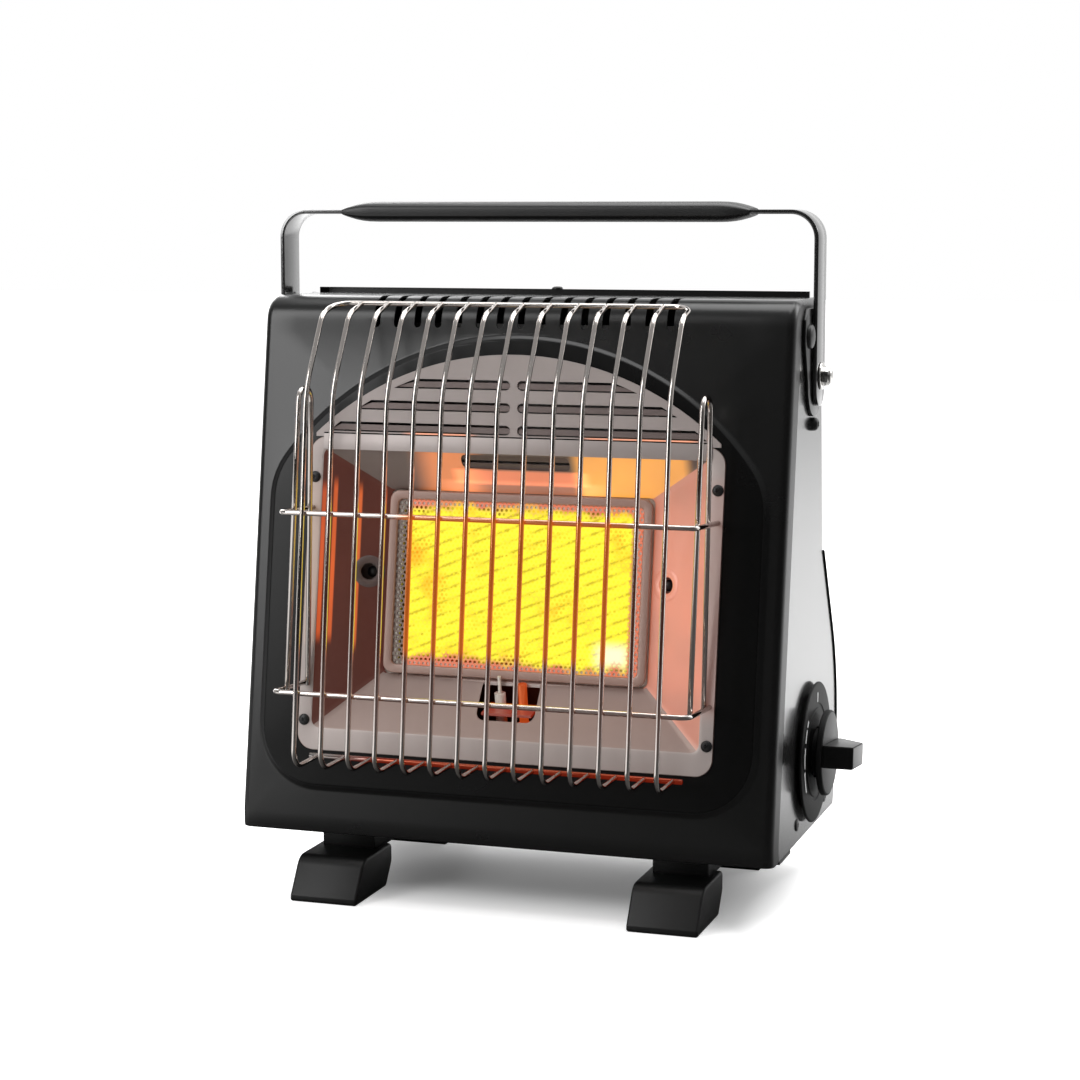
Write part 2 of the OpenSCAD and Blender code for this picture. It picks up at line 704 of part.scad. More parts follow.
// Handle
module strap_leg() {
    side_plate(strap_x, strap_t) {
        translate([pivot_y, pivot_z - strap_tail]) circle(strap_w / 2);
        translate([pivot_y - strap_w / 2, pivot_z - strap_tail])
            square([strap_w, strap_top - strap_t - strap_bend - pivot_z + strap_tail]);
    }
    translate([strap_x - strap_bend, pivot_y + strap_w / 2, strap_top - strap_t - strap_bend])
        rotate([90, 0, 0]) rotate_extrude(angle = 90) translate([strap_bend, 0]) square([strap_t, strap_w]);
}
module handle_strap() color(black_coat) difference() {
    union() {
        both_sides() strap_leg();
        translate([-strap_x + strap_bend, pivot_y - strap_w / 2, strap_top - strap_t])
            cube([2 * (strap_x - strap_bend), strap_w, strap_t]);
    }
    along_x(-half_w * 2, pivot_y, pivot_z, body_w * 2, bolt_d / 2 + turn_fit);
}
// A grip section: a round-edged bar of one width and height
module grip_slice(x, w, h) translate([x, pivot_y, strap_top - strap_t / 2]) rotate([0, 90, 0])
    for (y = [h / 2 - w / 2, w / 2 - h / 2]) translate([0, y, 0]) cylinder(h = 0.2, d = h, $fn = 24);
module handle_grip() color(black_plastic) difference() {
    hull() {
        grip_slice(-grip_l / 2, strap_w + 1.4, strap_t + 1.4);
        grip_slice(-grip_l / 2 + grip_taper, grip_w, grip_h);
        grip_slice(grip_l / 2 - grip_taper, grip_w, grip_h);
        grip_slice(grip_l / 2 - 0.2, strap_w + 1.4, strap_t + 1.4);
    }
    translate([-grip_l, pivot_y - strap_w / 2 - 0.05, strap_top - strap_t - 0.05])
        cube([2 * grip_l, strap_w + 0.1, strap_t + 0.1]);
}
module handle_pivot_bolts() color(chrome) both_sides() {
    along_x(inner_w - 4, pivot_y, pivot_z, 4 + sheet + nut_x + nut_h * 0.6 - half_w, bolt_d / 2);
    translate([inner_w - 4, pivot_y, pivot_z]) rotate([0, 90, 0]) cylinder(h = 4, r = hex_r, $fn = 6);
}
module handle_washers() color(chrome) both_sides() difference() {
    along_x(washer_x, pivot_y, pivot_z, washer_t, bolt_d * 1.25);
    along_x(washer_x - cut, pivot_y, pivot_z, washer_t + 2 * cut, bolt_d / 2 + hole_fit / 3);
}
module handle_pivot_nuts() color(chrome) both_sides() difference() {
    intersection() {
        translate([nut_x, pivot_y, pivot_z]) rotate([0, 90, 0]) cylinder(h = nut_h, r = hex_r, $fn = 6);
        translate([nut_x - bolt_d * 0.4, pivot_y, pivot_z]) sphere(nut_h + bolt_d * 0.4);
    }
    along_x(nut_x - cut, pivot_y, pivot_z, nut_h * 0.6 + cut + 0.2, bolt_d / 2 + hole_fit / 3);
}
bracket_screw = [pivot_y, bracket_z - bracket_r - big_screw * screw_r - 0.4];
bracket_top = stud_z + 12.5;
module handle_bracket() difference() {
    side_plate(half_w, bracket_t) polygon(concat(
        arc(pivot_y, bracket_z, bracket_r, 180, 360, 24),
        [[pivot_y + bracket_r - 5, bracket_top]],
        [[stud_y - stud_d / 2 + 3, bracket_top]],
        [[stud_y - stud_d / 2 - 2, bracket_top - 5]],
        [[stud_y - stud_d / 2 - 2, stud_z - 3]]
    ));
    along_x(half_w - cut, pivot_y, pivot_z, bracket_t + 2 * cut, bolt_d / 2 + hole_fit);
}
module left_handle_bracket() color(black_coat) mirror([1, 0, 0]) handle_bracket();
module right_handle_bracket() color(black_coat) handle_bracket();
module handle_stop_studs() color("#77787a") both_sides() {
    along_x(half_w + bracket_t, stud_y, stud_z, run_gap + strap_t * 0.5, stud_d / 2);
    along_x(half_w + bracket_t, stud_y, stud_z, run_gap + strap_t, stud_d / 2 - 1);
}
module bracket_screws() color("#2b2b2c") both_sides() {
    along_x(half_w, bracket_screw.x, bracket_screw.y, big_head_h, big_screw * screw_r);
    along_x(inner_w - 2.6, bracket_screw.x, bracket_screw.y, sheet + 2.8, big_shank_r);
}

// Guard
module upright(x) wire([for (p = rounded(upright_line, upright_bends, 4)) [x, p.x, p.y]], upright_d);
module guard_uprights() color(chrome)
    for (i = [1:upright_count - 2]) upright(-upright_half + i * upright_pitch);
function outer_side(x) = [for (p = reversed(upright_line)) [x, p.x, p.y]];
module guard_outer_wire() color(chrome) {
    path = concat(outer_side(-upright_half), reversed(outer_side(upright_half)));
    bends = concat(reversed(upright_bends), upright_bends);
    top = len(upright_line);
    turns = [for (i = [0:len(path) - 1]) i == top - 1 || i == top ? 8 : bends[i]];
    wire(rounded(path, turns, 4), upright_d);
}
module guard_bottom_rail() color(chrome)
    along_x(-upright_half - 4, upright_line[5].x, upright_line[5].y, 2 * upright_half + 8, rail_d / 2);
module cross_rail(h) {
    front_y = upright_y(base_z + h) + rail_behind;
    back_z = rail_end_z(h);
    path = [
        [-rail_span / 2, face_y(back_z) + rail_in, back_z],
        [-rail_span / 2, front_y, base_z + h],
        [rail_span / 2, front_y, base_z + h],
        [rail_span / 2, face_y(back_z) + rail_in, back_z]
    ];
    wire(rounded(path, same(rail_bend, path), 5), rail_d);
}
module guard_cross_rails() color(chrome) for (h = [rail_low, rail_high]) cross_rail(h);
// Distances of the loops' two legs from the front: at the loop's top, then at the lower rail
loop_front = 31;
loop_back = 17;
loop_low_front = 28.5;
loop_low_back = 4.5;
loop_x = rail_span / 2 - rail_d + weld;
module guard_side_loops() color(chrome) for (side = [-1, 1]) {
    spots = [
        [rail_low - 1.7, loop_low_front],
        [loop_top, loop_front],
        [loop_top, loop_back],
        [rail_low - 3.1, loop_low_back]
    ];
    path = [for (s = spots) [side * loop_x, face_y(base_z + s.x) - s.y, base_z + s.x]];
    wire(rounded(path, same((loop_front - loop_back) / 2 - 0.2, path), 5), rail_d);
}

// Reflector
// The reflector's four sloping walls as one block from one depth to another, grown by g on every side
function funnel_corners(at, g) =
    let (f = (at + field_h + bright_t) / (pan_depth + field_h + bright_t), k = 1 - f)
    let (x = k * (pan_w / 2 - pan_side) + f * mouth_w / 2 + g)
    let (low = k * (pan_low + pan_bottom) + f * mouth_low - g)
    let (high = k * (pan_high - pan_top) + f * mouth_high + g)
    [[-x, at, low], [x, at, low], [x, at, high], [-x, at, high]];
module pan_funnel(from, to, g) on_front() polyhedron(
    concat(funnel_corners(from, g), funnel_corners(to, g)),
    [[0, 3, 2, 1], [4, 5, 6, 7], [0, 1, 5, 4], [1, 2, 6, 5], [2, 3, 7, 6], [3, 0, 4, 7]]
);
wall_hole_x = (mouth_w / 2 + pan_w / 2 - pan_side) / 2 - 6.5;
module reflector_pan() color(bright) difference() {
    union() {
        front_plate(-field_h - bright_t, bright_t) rounded_rect(pan_w, pan_low, pan_high, 8);
        pan_funnel(-field_h - bright_t / 2, pan_depth, bright_t);
    }
    pan_funnel(-field_h - bright_t - cut, pan_depth + cut, 0);
    front_plate(-cut, pan_depth) screen_rect(slot_w, pan_high - pan_top - 7, pan_high - pan_top - 1);
    front_plate(0, pan_depth + 3) screen_rect(window_w, mouth_low + 0.5 - window_h, mouth_low + 0.5);
    for (x = [-wall_hole_x, wall_hole_x]) on_front() translate([x, 0, mouth_mid + 4])
        rotate([90, 0, 0]) cylinder(h = 60, r = 3.6, center = true);
    for (s = pan_screws) on_front() translate([s.x, 0, s.y])
        rotate([90, 0, 0]) cylinder(h = 20, r = screw_shank_r + hole_fit, center = true);
    rail_holes(rail_d / 2 + 3 * hole_fit);
}
module louvre_slots() intersection() {
    translate([0, louvre_centre - pan_high]) circle(louvre_r - louvre_rim);
    for (row = [0:2], side = [-1, 1]) translate([0, 4.9 + row * louvre_pitch]) {
        translate([side * (louvre_gap / 2 + louvre_h / 2), 0]) circle(louvre_h / 2);
        translate([side > 0 ? louvre_gap / 2 + louvre_h / 2 : -louvre_w / 2, -louvre_h / 2])
            square([louvre_w / 2 - louvre_gap / 2 - louvre_h / 2, louvre_h]);
    }
}
module louvre_plate() color(bright) {
    on_front() translate([0, -field_h - bright_t, pan_high]) rotate([louvre_tilt, 0, 0]) rotate([90, 0, 0])
        linear_extrude(bright_t) difference() {
            intersection() {
                translate([0, louvre_centre - pan_high]) circle(louvre_r);
                translate([-louvre_w / 2, 0]) square([louvre_w, louvre_w]);
            }
            louvre_slots();
        }
    on_front() translate([-louvre_w / 2 + 4, -field_h - 2 * bright_t, pan_high - pan_top + 0.5])
        cube([louvre_w - 8, bright_t, pan_top]);
}
module reflector_screws() color("#1a1a1a") for (s = pan_screws) on_front()
    translate([s.x, -field_h - bright_t, s.y]) rotate([90, 0, 0]) screw(5);
module burner_screws() color("#3a3532") for (x = [-wall_hole_x, wall_hole_x]) on_front()
    translate([x, ear_front, mouth_mid + 4]) rotate([90, 0, 0]) screw(4);

// Burner
module burner_mesh() color("#e0a030") front_plate(mesh_at, mesh_t)
    screen_rect(screen_w + 1, mouth_low + 2.5, mouth_high - 2.5);
module burner_frame() color(bright) front_plate(frame_at, frame_t) difference() {
    screen_rect(mouth_w - 1, mouth_low + 0.5, mouth_high - 0.5);
    screen_rect(screen_w - 3, mouth_low + 4.5, mouth_high - 4.5);
}
module ceramic_plaque() color("#f2c060") front_plate(plaque_at, plaque_t)
    screen_rect(screen_w - 2, mouth_low + 4, mouth_high - 4);
module plaque_gasket() color("#d9d4c8") {
    front_plate(mesh_at + mesh_t, plaque_at - mesh_at - mesh_t) difference() {
        screen_rect(screen_w, mouth_low + 3, mouth_high - 3);
        screen_rect(screen_w - 8, mouth_low + 7, mouth_high - 7);
    }
    front_plate(plaque_at, plaque_t - 1) difference() {
        screen_rect(2 * box_half - 2, mouth_low - 1, mouth_high + 1);
        screen_rect(screen_w - 2, mouth_low + 4, mouth_high - 4);
    }
}
ear_front = pan_depth + 0.5;
module burner_box() color(zinc) difference() {
    union() {
        front_plate(ear_front + bright_t, box_back - ear_front)
            screen_rect(2 * box_half, mouth_low - 2, mouth_high + 2);
        front_plate(ear_front + bright_t, 1)
            screen_rect(2 * wall_hole_x + 16, mouth_mid - 4, mouth_mid + 12);
    }
    front_plate(ear_front, box_back - ear_front)
        screen_rect(2 * box_half - 2, mouth_low - 1, mouth_high + 1);
    along_x(0, mix_point.x, mix_point.y, half_w, mix_d / 2 - 1);
    for (x = [-wall_hole_x, wall_hole_x]) on_front() translate([x, ear_front, mouth_mid + 4])
        rotate([90, 0, 0]) cylinder(h = 12, r = screw_shank_r + hole_fit, center = true);
}
mix_end = box_half + mix_l;
mix_lip = min(mix_d / 2 + 2.2, box_back + bright_t - mix_at - 0.4);
module mixing_tube() color(zinc) translate([box_half, mix_point.x, mix_point.y])
    rotate([0, 90, 0]) rotate_extrude() polygon([
        [mix_d / 2 - 1, 0],
        [mix_lip, 0],
        [mix_lip, 1.5],
        [mix_d / 2, 1.5],
        [mix_d / 2, mix_l - 6],
        [mix_lip, mix_l],
        [mix_lip - 1, mix_l],
        [mix_d / 2 - 1, mix_l - 6]
    ]);
injector_x = mix_end - 2;
tube_d = 4;
tube_x = injector_x + 12;
module injector() color(brass) difference() {
    union() {
        along_x(injector_x, mix_point.x, mix_point.y, 16, 3);
        translate([injector_x + 7, mix_point.x, mix_point.y])
            rotate([0, 90, 0]) cylinder(h = 9, r = 6, $fn = 6);
        translate([tube_x, mix_point.x, mix_point.y - 10]) cylinder(h = 10, r = tube_d / 2 + 2);
    }
    translate([tube_x, mix_point.x, mix_point.y - 10 - cut])
        cylinder(h = 6 + cut, r = tube_d / 2 + hole_fit);
    along_x(injector_x - cut, mix_point.x, mix_point.y, 4, 0.8);
}
module injector_bracket() color(zinc) difference() {
    union() {
        translate([injector_x + 5, mix_point.x - 11, mix_point.y - 8]) cube([1.5, box_back * 0.5 + 9, 16]);
        on_front() translate([box_half - 16, box_back + bright_t, mouth_mid - 7])
            cube([injector_x + 22.5 - box_half, 1.5, 14]);
    }
    along_x(injector_x, mix_point.x, mix_point.y, 20, 3 + hole_fit / 3);
}

// Gas valve
module regulator_valve() color("#8d8f92") difference() {
    union() {
        along_x(socket_x, cart_y, cart_z, regulator_t, regulator_r);
        along_x(socket_x + regulator_t - 6, cart_y, cart_z, 18, regulator_r - 8);
        along_x(socket_x + 12, knob_y, knob_z, inner_w - socket_x - 12, barrel_r);
        along_x(inner_w - 2.5, knob_y, knob_z, 2.5, flange_r);
        translate([tube_x, knob_y, knob_z]) cylinder(h = barrel_r + 4, r = tube_d / 2 + 2.5);
    }
    along_x(socket_x - cut, cart_y, cart_z, socket_deep + cut, collar_d / 2);
    along_x(socket_x, cart_y, cart_z, socket_deep + 3, magnet_r + hole_fit / 3);
    along_x(socket_x, cart_y, cart_z, socket_deep + 9, 4);
    along_x(collar_x - press - collar_t - 1, knob_y, knob_z, 40, collar_r + hole_fit / 2);
    along_x(socket_x + 18, knob_y, knob_z, 60, shaft_d / 2 + turn_fit);
    translate([tube_x, knob_y, knob_z + barrel_r - 2]) cylinder(h = 20, r = tube_d / 2 + hole_fit);
    for (s = dial_screw_spots) along_x(inner_w - 3, s.x, s.y, 4, screw_shank_r + hole_fit);
}
magnet_r = collar_d / 2 - 4;
module magnet_ring() color("#3c3d40") difference() {
    along_x(socket_x + socket_deep, cart_y, cart_z, 3, magnet_r);
    along_x(socket_x + socket_deep - cut, cart_y, cart_z, 3 + 2 * cut, magnet_r / 2);
}
tube_pass_z = base_z + 74;
tube_route = [
    [tube_x, knob_y, knob_z + barrel_r - 1],
    [tube_x, knob_y, tube_pass_z],
    [tube_x, mix_point.x, tube_pass_z],
    [tube_x, mix_point.x, mix_point.y - 5]
];
module gas_tube() color("#c9c9cb") wire(rounded(tube_route, same(9, tube_route), 5), tube_d - 0.2);
piezo_z = knob_z - barrel_r - 8;
piezo_r = 6.5;
piezo_x = inner_w - 34;
module piezo_igniter() color("#d8d2c4") {
    along_x(piezo_x, knob_y, piezo_z, 31, piezo_r);
    translate([inner_w - 22, knob_y - 3, piezo_z]) cube([10, 6, knob_z - barrel_r - piezo_z]);
    along_x(piezo_x - 4, knob_y, piezo_z, 4.2, 2.5);
}
// The ignition lead, the electrode and the flame sensor meet behind the igniter window
lead_x = piezo_x - 10;
lead_pass_z = piezo_z;
pilot_tilt = 18;
spark_x = -5.5;
sensor_x = 5.5;
pilot_at = 10.5;
module on_pilot(x) on_front() translate([x, pilot_at, mouth_low - 5]) rotate([pilot_tilt, 0, 0]) children();
function pilot_foot(x, down) =
    let (along = mouth_low - 5 - down * cos(pilot_tilt), behind = pilot_at + down * sin(pilot_tilt))
    [x, front_point(along, behind).x, front_point(along, behind).y];
lead_d = 2.6;
electrode_low = 23;
lead_route = [
    [piezo_x - 4, knob_y, piezo_z],
    [lead_x, knob_y, piezo_z],
    [lead_x, shield_y - 14, piezo_z],
    [spark_x, shield_y - 14, piezo_z],
    [spark_x, pilot_foot(0, electrode_low + 3).y + 3, piezo_z],
    pilot_foot(spark_x, electrode_low + 0.5)
];
module ignition_lead() color("#7a1f1a") wire(rounded(lead_route, same(5, lead_route), 4), lead_d);
module electrode() color("#efe9dd") {
    on_pilot(spark_x) translate([0, 0, -electrode_low]) cylinder(h = electrode_low - 1, r = 2.6);
    on_pilot(spark_x) translate([0, 0, -2]) cylinder(h = 9, r = 0.8);
}
module thermocouple() color("#b5623a") {
    on_pilot(sensor_x) translate([0, 0, -21]) cylinder(h = 25, r = 2.1);
    on_pilot(sensor_x) translate([0, 0, -23]) cylinder(h = 8, r = 3, $fn = 6);
}
module pilot_bracket() color(zinc) difference() {
    on_pilot(0) translate([-window_w / 2 + 2, -9, -9]) cube([window_w - 4, 14, 1.2]);
    on_pilot(spark_x) translate([0, 0, -14]) cylinder(h = 10, r = 2.6 + hole_fit / 3);
    on_pilot(sensor_x) translate([0, 0, -14]) cylinder(h = 10, r = 2.1 + hole_fit / 3);
}

// Control
dial_screw_r = hub_r + 8;
flange_r = dial_screw_r + 4;
dial_sink = 1.2;
// The dial's thin rim stands on a smaller boss
dial_rim = 1.2;
dial_boss_r = dial_r - 7;
dial_screw_spots = [for (a = [60, 240]) [knob_y + dial_screw_r * cos(a), knob_z + dial_screw_r * sin(a)]];
module dial_plate() color(black_plastic) difference() {
    translate([half_w, knob_y, knob_z]) rotate([0, 90, 0]) rotate_extrude() polygon([
        [hub_r + hub_fit, 0],
        [dial_boss_r, 0],
        [dial_boss_r, dial_t - dial_rim],
        [dial_r, dial_t - dial_rim],
        [dial_r, dial_t - 0.4],
        [dial_r - 0.4, dial_t],
        [hub_r + hub_fit, dial_t]
    ]);
    for (s = dial_screw_spots) along_x(half_w - cut, s.x, s.y, dial_t + 2 * cut, screw_shank_r + hole_fit);
    for (s = dial_screw_spots) along_x(dial_x - dial_sink, s.x, s.y, dial_t, screw_r);
}
module dial_screws() color("#2b2b2c")
    for (s = dial_screw_spots)
        translate([dial_x - dial_sink, s.x, s.y]) rotate([0, 90, 0]) scale(0.9) screw(dial_t + sheet);
hub_x = half_w + press - 0.2;
module control_knob() color(black_plastic) difference() {
    union() {
        translate([knob_x, knob_y, knob_z]) rotate([0, 90, 0]) rotate_extrude() polygon([
            [0, 0],
            [knob_r, 0],
            [knob_r, knob_t - 0.8],
            [knob_r - 0.8, knob_t],
            [0, knob_t]
        ]);
        along_x(hub_x, knob_y, knob_z, knob_x - hub_x + 0.2, hub_r);
        translate([knob_x + knob_t - 0.2, knob_y, knob_z]) rotate([bar_turn, 0, 0])
            translate([0, 0, -bar_t / 2]) linear_extrude(bar_t) polygon([
                [0, -knob_r + 0.6],
                [bar_out + 0.2, -knob_r + 0.6],
                [bar_out + 0.2, 5],
                [2.2, knob_r - 1.5],
                [0, knob_r - 1.5]
            ]);
    }
    along_x(hub_x - cut, knob_y, knob_z, knob_x + 1 - hub_x + cut, shaft_d / 2 + hole_fit / 10);
}
module knob_shaft() color(zinc)
    along_x(socket_x + 18.5 + press, knob_y, knob_z, knob_x + 1 - socket_x - 18.5 - press, shaft_d / 2);
module push_collar() color(brass) difference() {
    along_x(collar_x, knob_y, knob_z, collar_t, collar_r);
    along_x(collar_x - cut, knob_y, knob_z, collar_t + 2 * cut, shaft_d / 2 + turn_fit);
}

module placed() translate([-origin_x, -origin_y, 0]) children();

placed() front_panel();
placed() left_side_panel();
placed() right_side_panel();
placed() rear_panel();
placed() base_plate();
placed() casing_screws();
placed() left_foot();
placed() right_foot();
placed() foot_screws();
placed() cartridge_door();
placed() door_hinge_pin();
placed() door_catch();
placed() heat_shield();
placed() cartridge_cradle();
placed() handle_strap();
placed() handle_grip();
placed() handle_pivot_bolts();
placed() handle_washers();
placed() handle_pivot_nuts();
placed() left_handle_bracket();
placed() right_handle_bracket();
placed() handle_stop_studs();
placed() bracket_screws();
placed() guard_uprights();
placed() guard_outer_wire();
placed() guard_bottom_rail();
placed() guard_cross_rails();
placed() guard_side_loops();
placed() reflector_pan();
placed() louvre_plate();
placed() reflector_screws();
placed() burner_screws();
placed() burner_mesh();
placed() burner_frame();
placed() ceramic_plaque();
placed() plaque_gasket();
placed() burner_box();
placed() mixing_tube();
placed() injector();
placed() injector_bracket();
placed() regulator_valve();
placed() magnet_ring();
placed() gas_tube();
placed() piezo_igniter();
placed() ignition_lead();
placed() electrode();
placed() thermocouple();
placed() pilot_bracket();
placed() dial_plate();
placed() dial_screws();
placed() control_knob();
placed() knob_shaft();
placed() push_collar();
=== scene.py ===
from math import acos, atan2, copysign, cos, degrees, pi, radians, sin, sqrt, tan

import bmesh
import bpy
from bmesh.types import BMEdge, BMVert
from mathutils import Matrix, Vector


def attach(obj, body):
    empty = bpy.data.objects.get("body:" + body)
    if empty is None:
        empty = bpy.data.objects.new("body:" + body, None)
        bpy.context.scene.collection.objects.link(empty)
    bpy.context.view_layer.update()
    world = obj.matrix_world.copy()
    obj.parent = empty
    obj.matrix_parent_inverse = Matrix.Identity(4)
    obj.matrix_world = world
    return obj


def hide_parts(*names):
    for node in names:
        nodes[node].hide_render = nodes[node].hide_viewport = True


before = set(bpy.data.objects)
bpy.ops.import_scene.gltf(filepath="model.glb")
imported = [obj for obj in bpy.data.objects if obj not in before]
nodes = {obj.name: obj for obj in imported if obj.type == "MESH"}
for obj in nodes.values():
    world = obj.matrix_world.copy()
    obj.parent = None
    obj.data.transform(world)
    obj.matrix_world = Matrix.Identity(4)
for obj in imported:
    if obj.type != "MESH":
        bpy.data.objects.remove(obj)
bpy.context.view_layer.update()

# Places. Sizes are in millimetres: x across from the casing's middle, y back from the front's lower edge and
# z up from the floor. On the sloping front, v runs up the slope and w runs in behind it.
MM = 0.001
MIDDLE_X, FRONT_Y = 7.25, 55.43
BASE, TOP = 30.0, 278.0
HALF = 127.5
LEAN = atan2(37.0, 248.0)
SIN, COS = sin(LEAN), cos(LEAN)
FACE_IN = (COS, -SIN)
SIDES = (-1, 1)


def place(x, y, z):
    return Vector(((x - MIDDLE_X) * MM, (y - FRONT_Y) * MM, z * MM))


def slope(v, w=0):
    """The (y, z) of a place on the sloping front."""
    return v * SIN + w * COS, BASE + v * COS - w * SIN


def front(x, v, w):
    return place(x, *slope(v, w))


def front_way(x, v, w):
    """A step along the sloping front."""
    return front(x, v, w) - front(0, 0, 0)


def side_line(x, line):
    """Places at one x for a line of (y, z)."""
    return [place(x, y, z) for y, z in line]


def front_line(line, w):
    """Places on the sloping front at one depth for a line of (x, v)."""
    return [front(x, v, w) for x, v in line]


def across(length):
    """A step along x."""
    return Vector((length * MM, 0, 0))


def face_y(z):
    return (z - BASE) * SIN / COS


def arc(cx, cy, r, start, end, n):
    turns = [radians(start + (end - start) * k / n) for k in range(n + 1)]
    return [(cx + r * cos(a), cy + r * sin(a)) for a in turns]


def circle(cx, cy, r, count, start=0):
    return arc(cx, cy, r, start, start + 360, count)[:-1]


def rounded(path, radii, n):
    """The path's points with each inner corner turned into an arc of n steps."""
    path = [Vector(p) for p in path]
    out = [path[0]]
    for a, b, c, r in zip(path, path[1:], path[2:], radii[1:]):
        u, v = (a - b).normalized(), (c - b).normalized()
        half = u.angle(v) / 2
        mid = b + (u + v).normalized() * (r / sin(half))
        leg = r / tan(half)
        s, e = b + u * leg - mid, b + v * leg - mid
        turn = pi - 2 * half
        for k in range(n + 1):
            t = k / n
            out.append(mid + (s * sin(turn * (1 - t)) + e * sin(turn * t)) / sin(turn))
    return out + [path[-1]]


def rounded_box(half, low, high, r, n=6):
    """A rounded rectangle in (x, v), anticlockwise from its lower right corner."""
    return (arc(half - r, low + r, r, -90, 0, n) + arc(half - r, high - r, r, 0, 90, n)
            + arc(r - half, high - r, r, 90, 180, n) + arc(r - half, low + r, r, 180, 270, n))


def resample(path, count):
    """count points at even steps along a path."""
    path = [Vector(p) for p in path]
    gaps = [(b - a).length for a, b in zip(path, path[1:])]
    out = []
    for k in range(count):
        left, i = sum(gaps) * k / (count - 1), 0
        while i < len(gaps) - 1 and left > gaps[i]:
            left -= gaps[i]
            i += 1
        out.append(path[i].lerp(path[i + 1], min(left / gaps[i], 1.0)))
    return out


# Mesh pieces
def new_parts(made, kind):
    """What an operator made, of one kind."""
    return [g for g in made["geom"] if isinstance(g, kind)]


def chain(bm, points, closed=True):
    """A row of points joined by edges."""
    verts = [bm.verts.new(p) for p in points]
    following = verts[1:] + verts[:1] if closed else verts[1:]
    return verts, [bm.edges.new(pair) for pair in zip(verts, following)]


def skin(bm, rows, closed=True):
    """Sheet drawn out from the first row of points through all the others; closed joins each row's ends."""
    verts, edges = chain(bm, rows[0], closed)
    chains = [(verts, edges)]
    for row in rows[1:]:
        made = bmesh.ops.extrude_edge_only(bm, edges=edges)
        fresh = set(new_parts(made, BMVert))
        verts = [next(e.other_vert(v) for e in v.link_edges if e.other_vert(v) in fresh) for v in verts]
        edges = new_parts(made, BMEdge)
        for vert, spot in zip(verts, row):
            vert.co = spot
        chains.append((verts, edges))
    return chains


def block(bm, rows):
    """Rings joined into a closed solid."""
    chains = skin(bm, rows)
    for _, edges in (chains[0], chains[-1]):
        bmesh.ops.contextual_create(bm, geom=edges)


def tube(bm, path, r, sides=14):
    """A round wire of radius r along a path, with softened ends."""
    count = len(path)
    ahead = [(path[min(i + 1, count - 1)] - path[max(i - 1, 0)]).normalized() for i in range(count)]
    tip, tip_size = r * MM * 0.25, 0.72
    spots = [(path[0] - ahead[0] * tip, ahead[0], tip_size)]
    spots += [(p, t, 1.0) for p, t in zip(path, ahead)]
    spots.append((path[-1] + ahead[-1] * tip, ahead[-1], tip_size))
    side = ahead[0].orthogonal().normalized()
    rows = []
    for p, t, size in spots:
        side = (side - t * side.dot(t)).normalized()
        up = t.cross(side)
        rows.append([p + (side * c + up * s) * MM for c, s in circle(0, 0, r * size, sides)])
    block(bm, rows)


def lathe(bm, profile, centre, axis, steps=48):
    """A turned piece: profile points are (radius, height) along the axis from the centre."""
    axis = Vector(axis).normalized()
    out = axis.orthogonal().normalized()
    verts, edges = chain(bm, [centre + (out * r + axis * h) * MM for r, h in profile], closed=False)
    bmesh.ops.spin(bm, geom=verts + edges, cent=centre, axis=axis, angle=2 * pi, steps=steps, use_merge=True)
    bmesh.ops.remove_doubles(bm, verts=bm.verts, dist=1e-6)


def lathe_pair(bm, profile, x, y, z):
    """The same turned piece on both sides of the casing, facing out."""
    for side in SIDES:
        lathe(bm, profile, place(side * x, y, z), (side, 0, 0))


def plate(bm, outline, depth):
    """An outline of points made solid by pushing it through depth, a vector."""
    face = bm.faces.new([bm.verts.new(p) for p in outline])
    made = bmesh.ops.extrude_face_region(bm, geom=[face], use_keep_orig=True)
    bmesh.ops.translate(bm, vec=depth, verts=new_parts(made, BMVert))


def slab(bm, x_span, y_span, z_span):
    """A plain box."""
    (x0, x1), (y0, y1), (z0, z1) = x_span, y_span, z_span
    corners = ((x0, y0), (x1, y0), (x1, y1), (x0, y1))
    plate(bm, [place(x, y, z0) for x, y in corners], Vector((0, 0, (z1 - z0) * MM)))


def soften(bm, width, segments=2, angle=30):
    """Bevels every edge sharper than the angle."""
    bmesh.ops.recalc_face_normals(bm, faces=bm.faces)
    sharp = [e for e in bm.edges if e.is_manifold and e.calc_face_angle(0) > radians(angle)]
    bmesh.ops.bevel(bm, geom=sharp, offset=width * MM, offset_type="OFFSET", segments=segments, profile=0.5,
                    affect="EDGES", clamp_overlap=True, material=-1)


def face_front(bm):
    """Turns an open sheet's faces to the front."""
    bmesh.ops.recalc_face_normals(bm, faces=bm.faces)
    if sum(f.normal.y * f.calc_area() for f in bm.faces) > 0:
        bmesh.ops.reverse_faces(bm, faces=bm.faces)


def make(name, bm, material, slot, *stands_for, body="casing", smooth=35, open_sheet=False):
    """The finished piece, on its body and in its material; the slot is not used."""
    if open_sheet:
        face_front(bm)
    else:
        bmesh.ops.recalc_face_normals(bm, faces=bm.faces)
    mesh = bpy.data.meshes.new(name)
    bm.to_mesh(mesh)
    bm.free()
    mesh.shade_smooth()
    mesh.set_sharp_from_angle(angle=radians(smooth))
    mesh.materials.append(material)
    obj = bpy.data.objects.new(name, mesh)
    bpy.context.scene.collection.objects.link(obj)
    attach(obj, body)
    if stands_for:
        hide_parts(*stands_for)
    return obj


def settle(obj, smooth):
    """Turns the object's modifiers into its own mesh."""
    done = bpy.data.meshes.new_from_object(obj.evaluated_get(bpy.context.evaluated_depsgraph_get()))
    old = obj.data
    obj.modifiers.clear()
    obj.data = done
    bpy.data.meshes.remove(old)
    done.shade_smooth()
    done.set_sharp_from_angle(angle=radians(smooth))


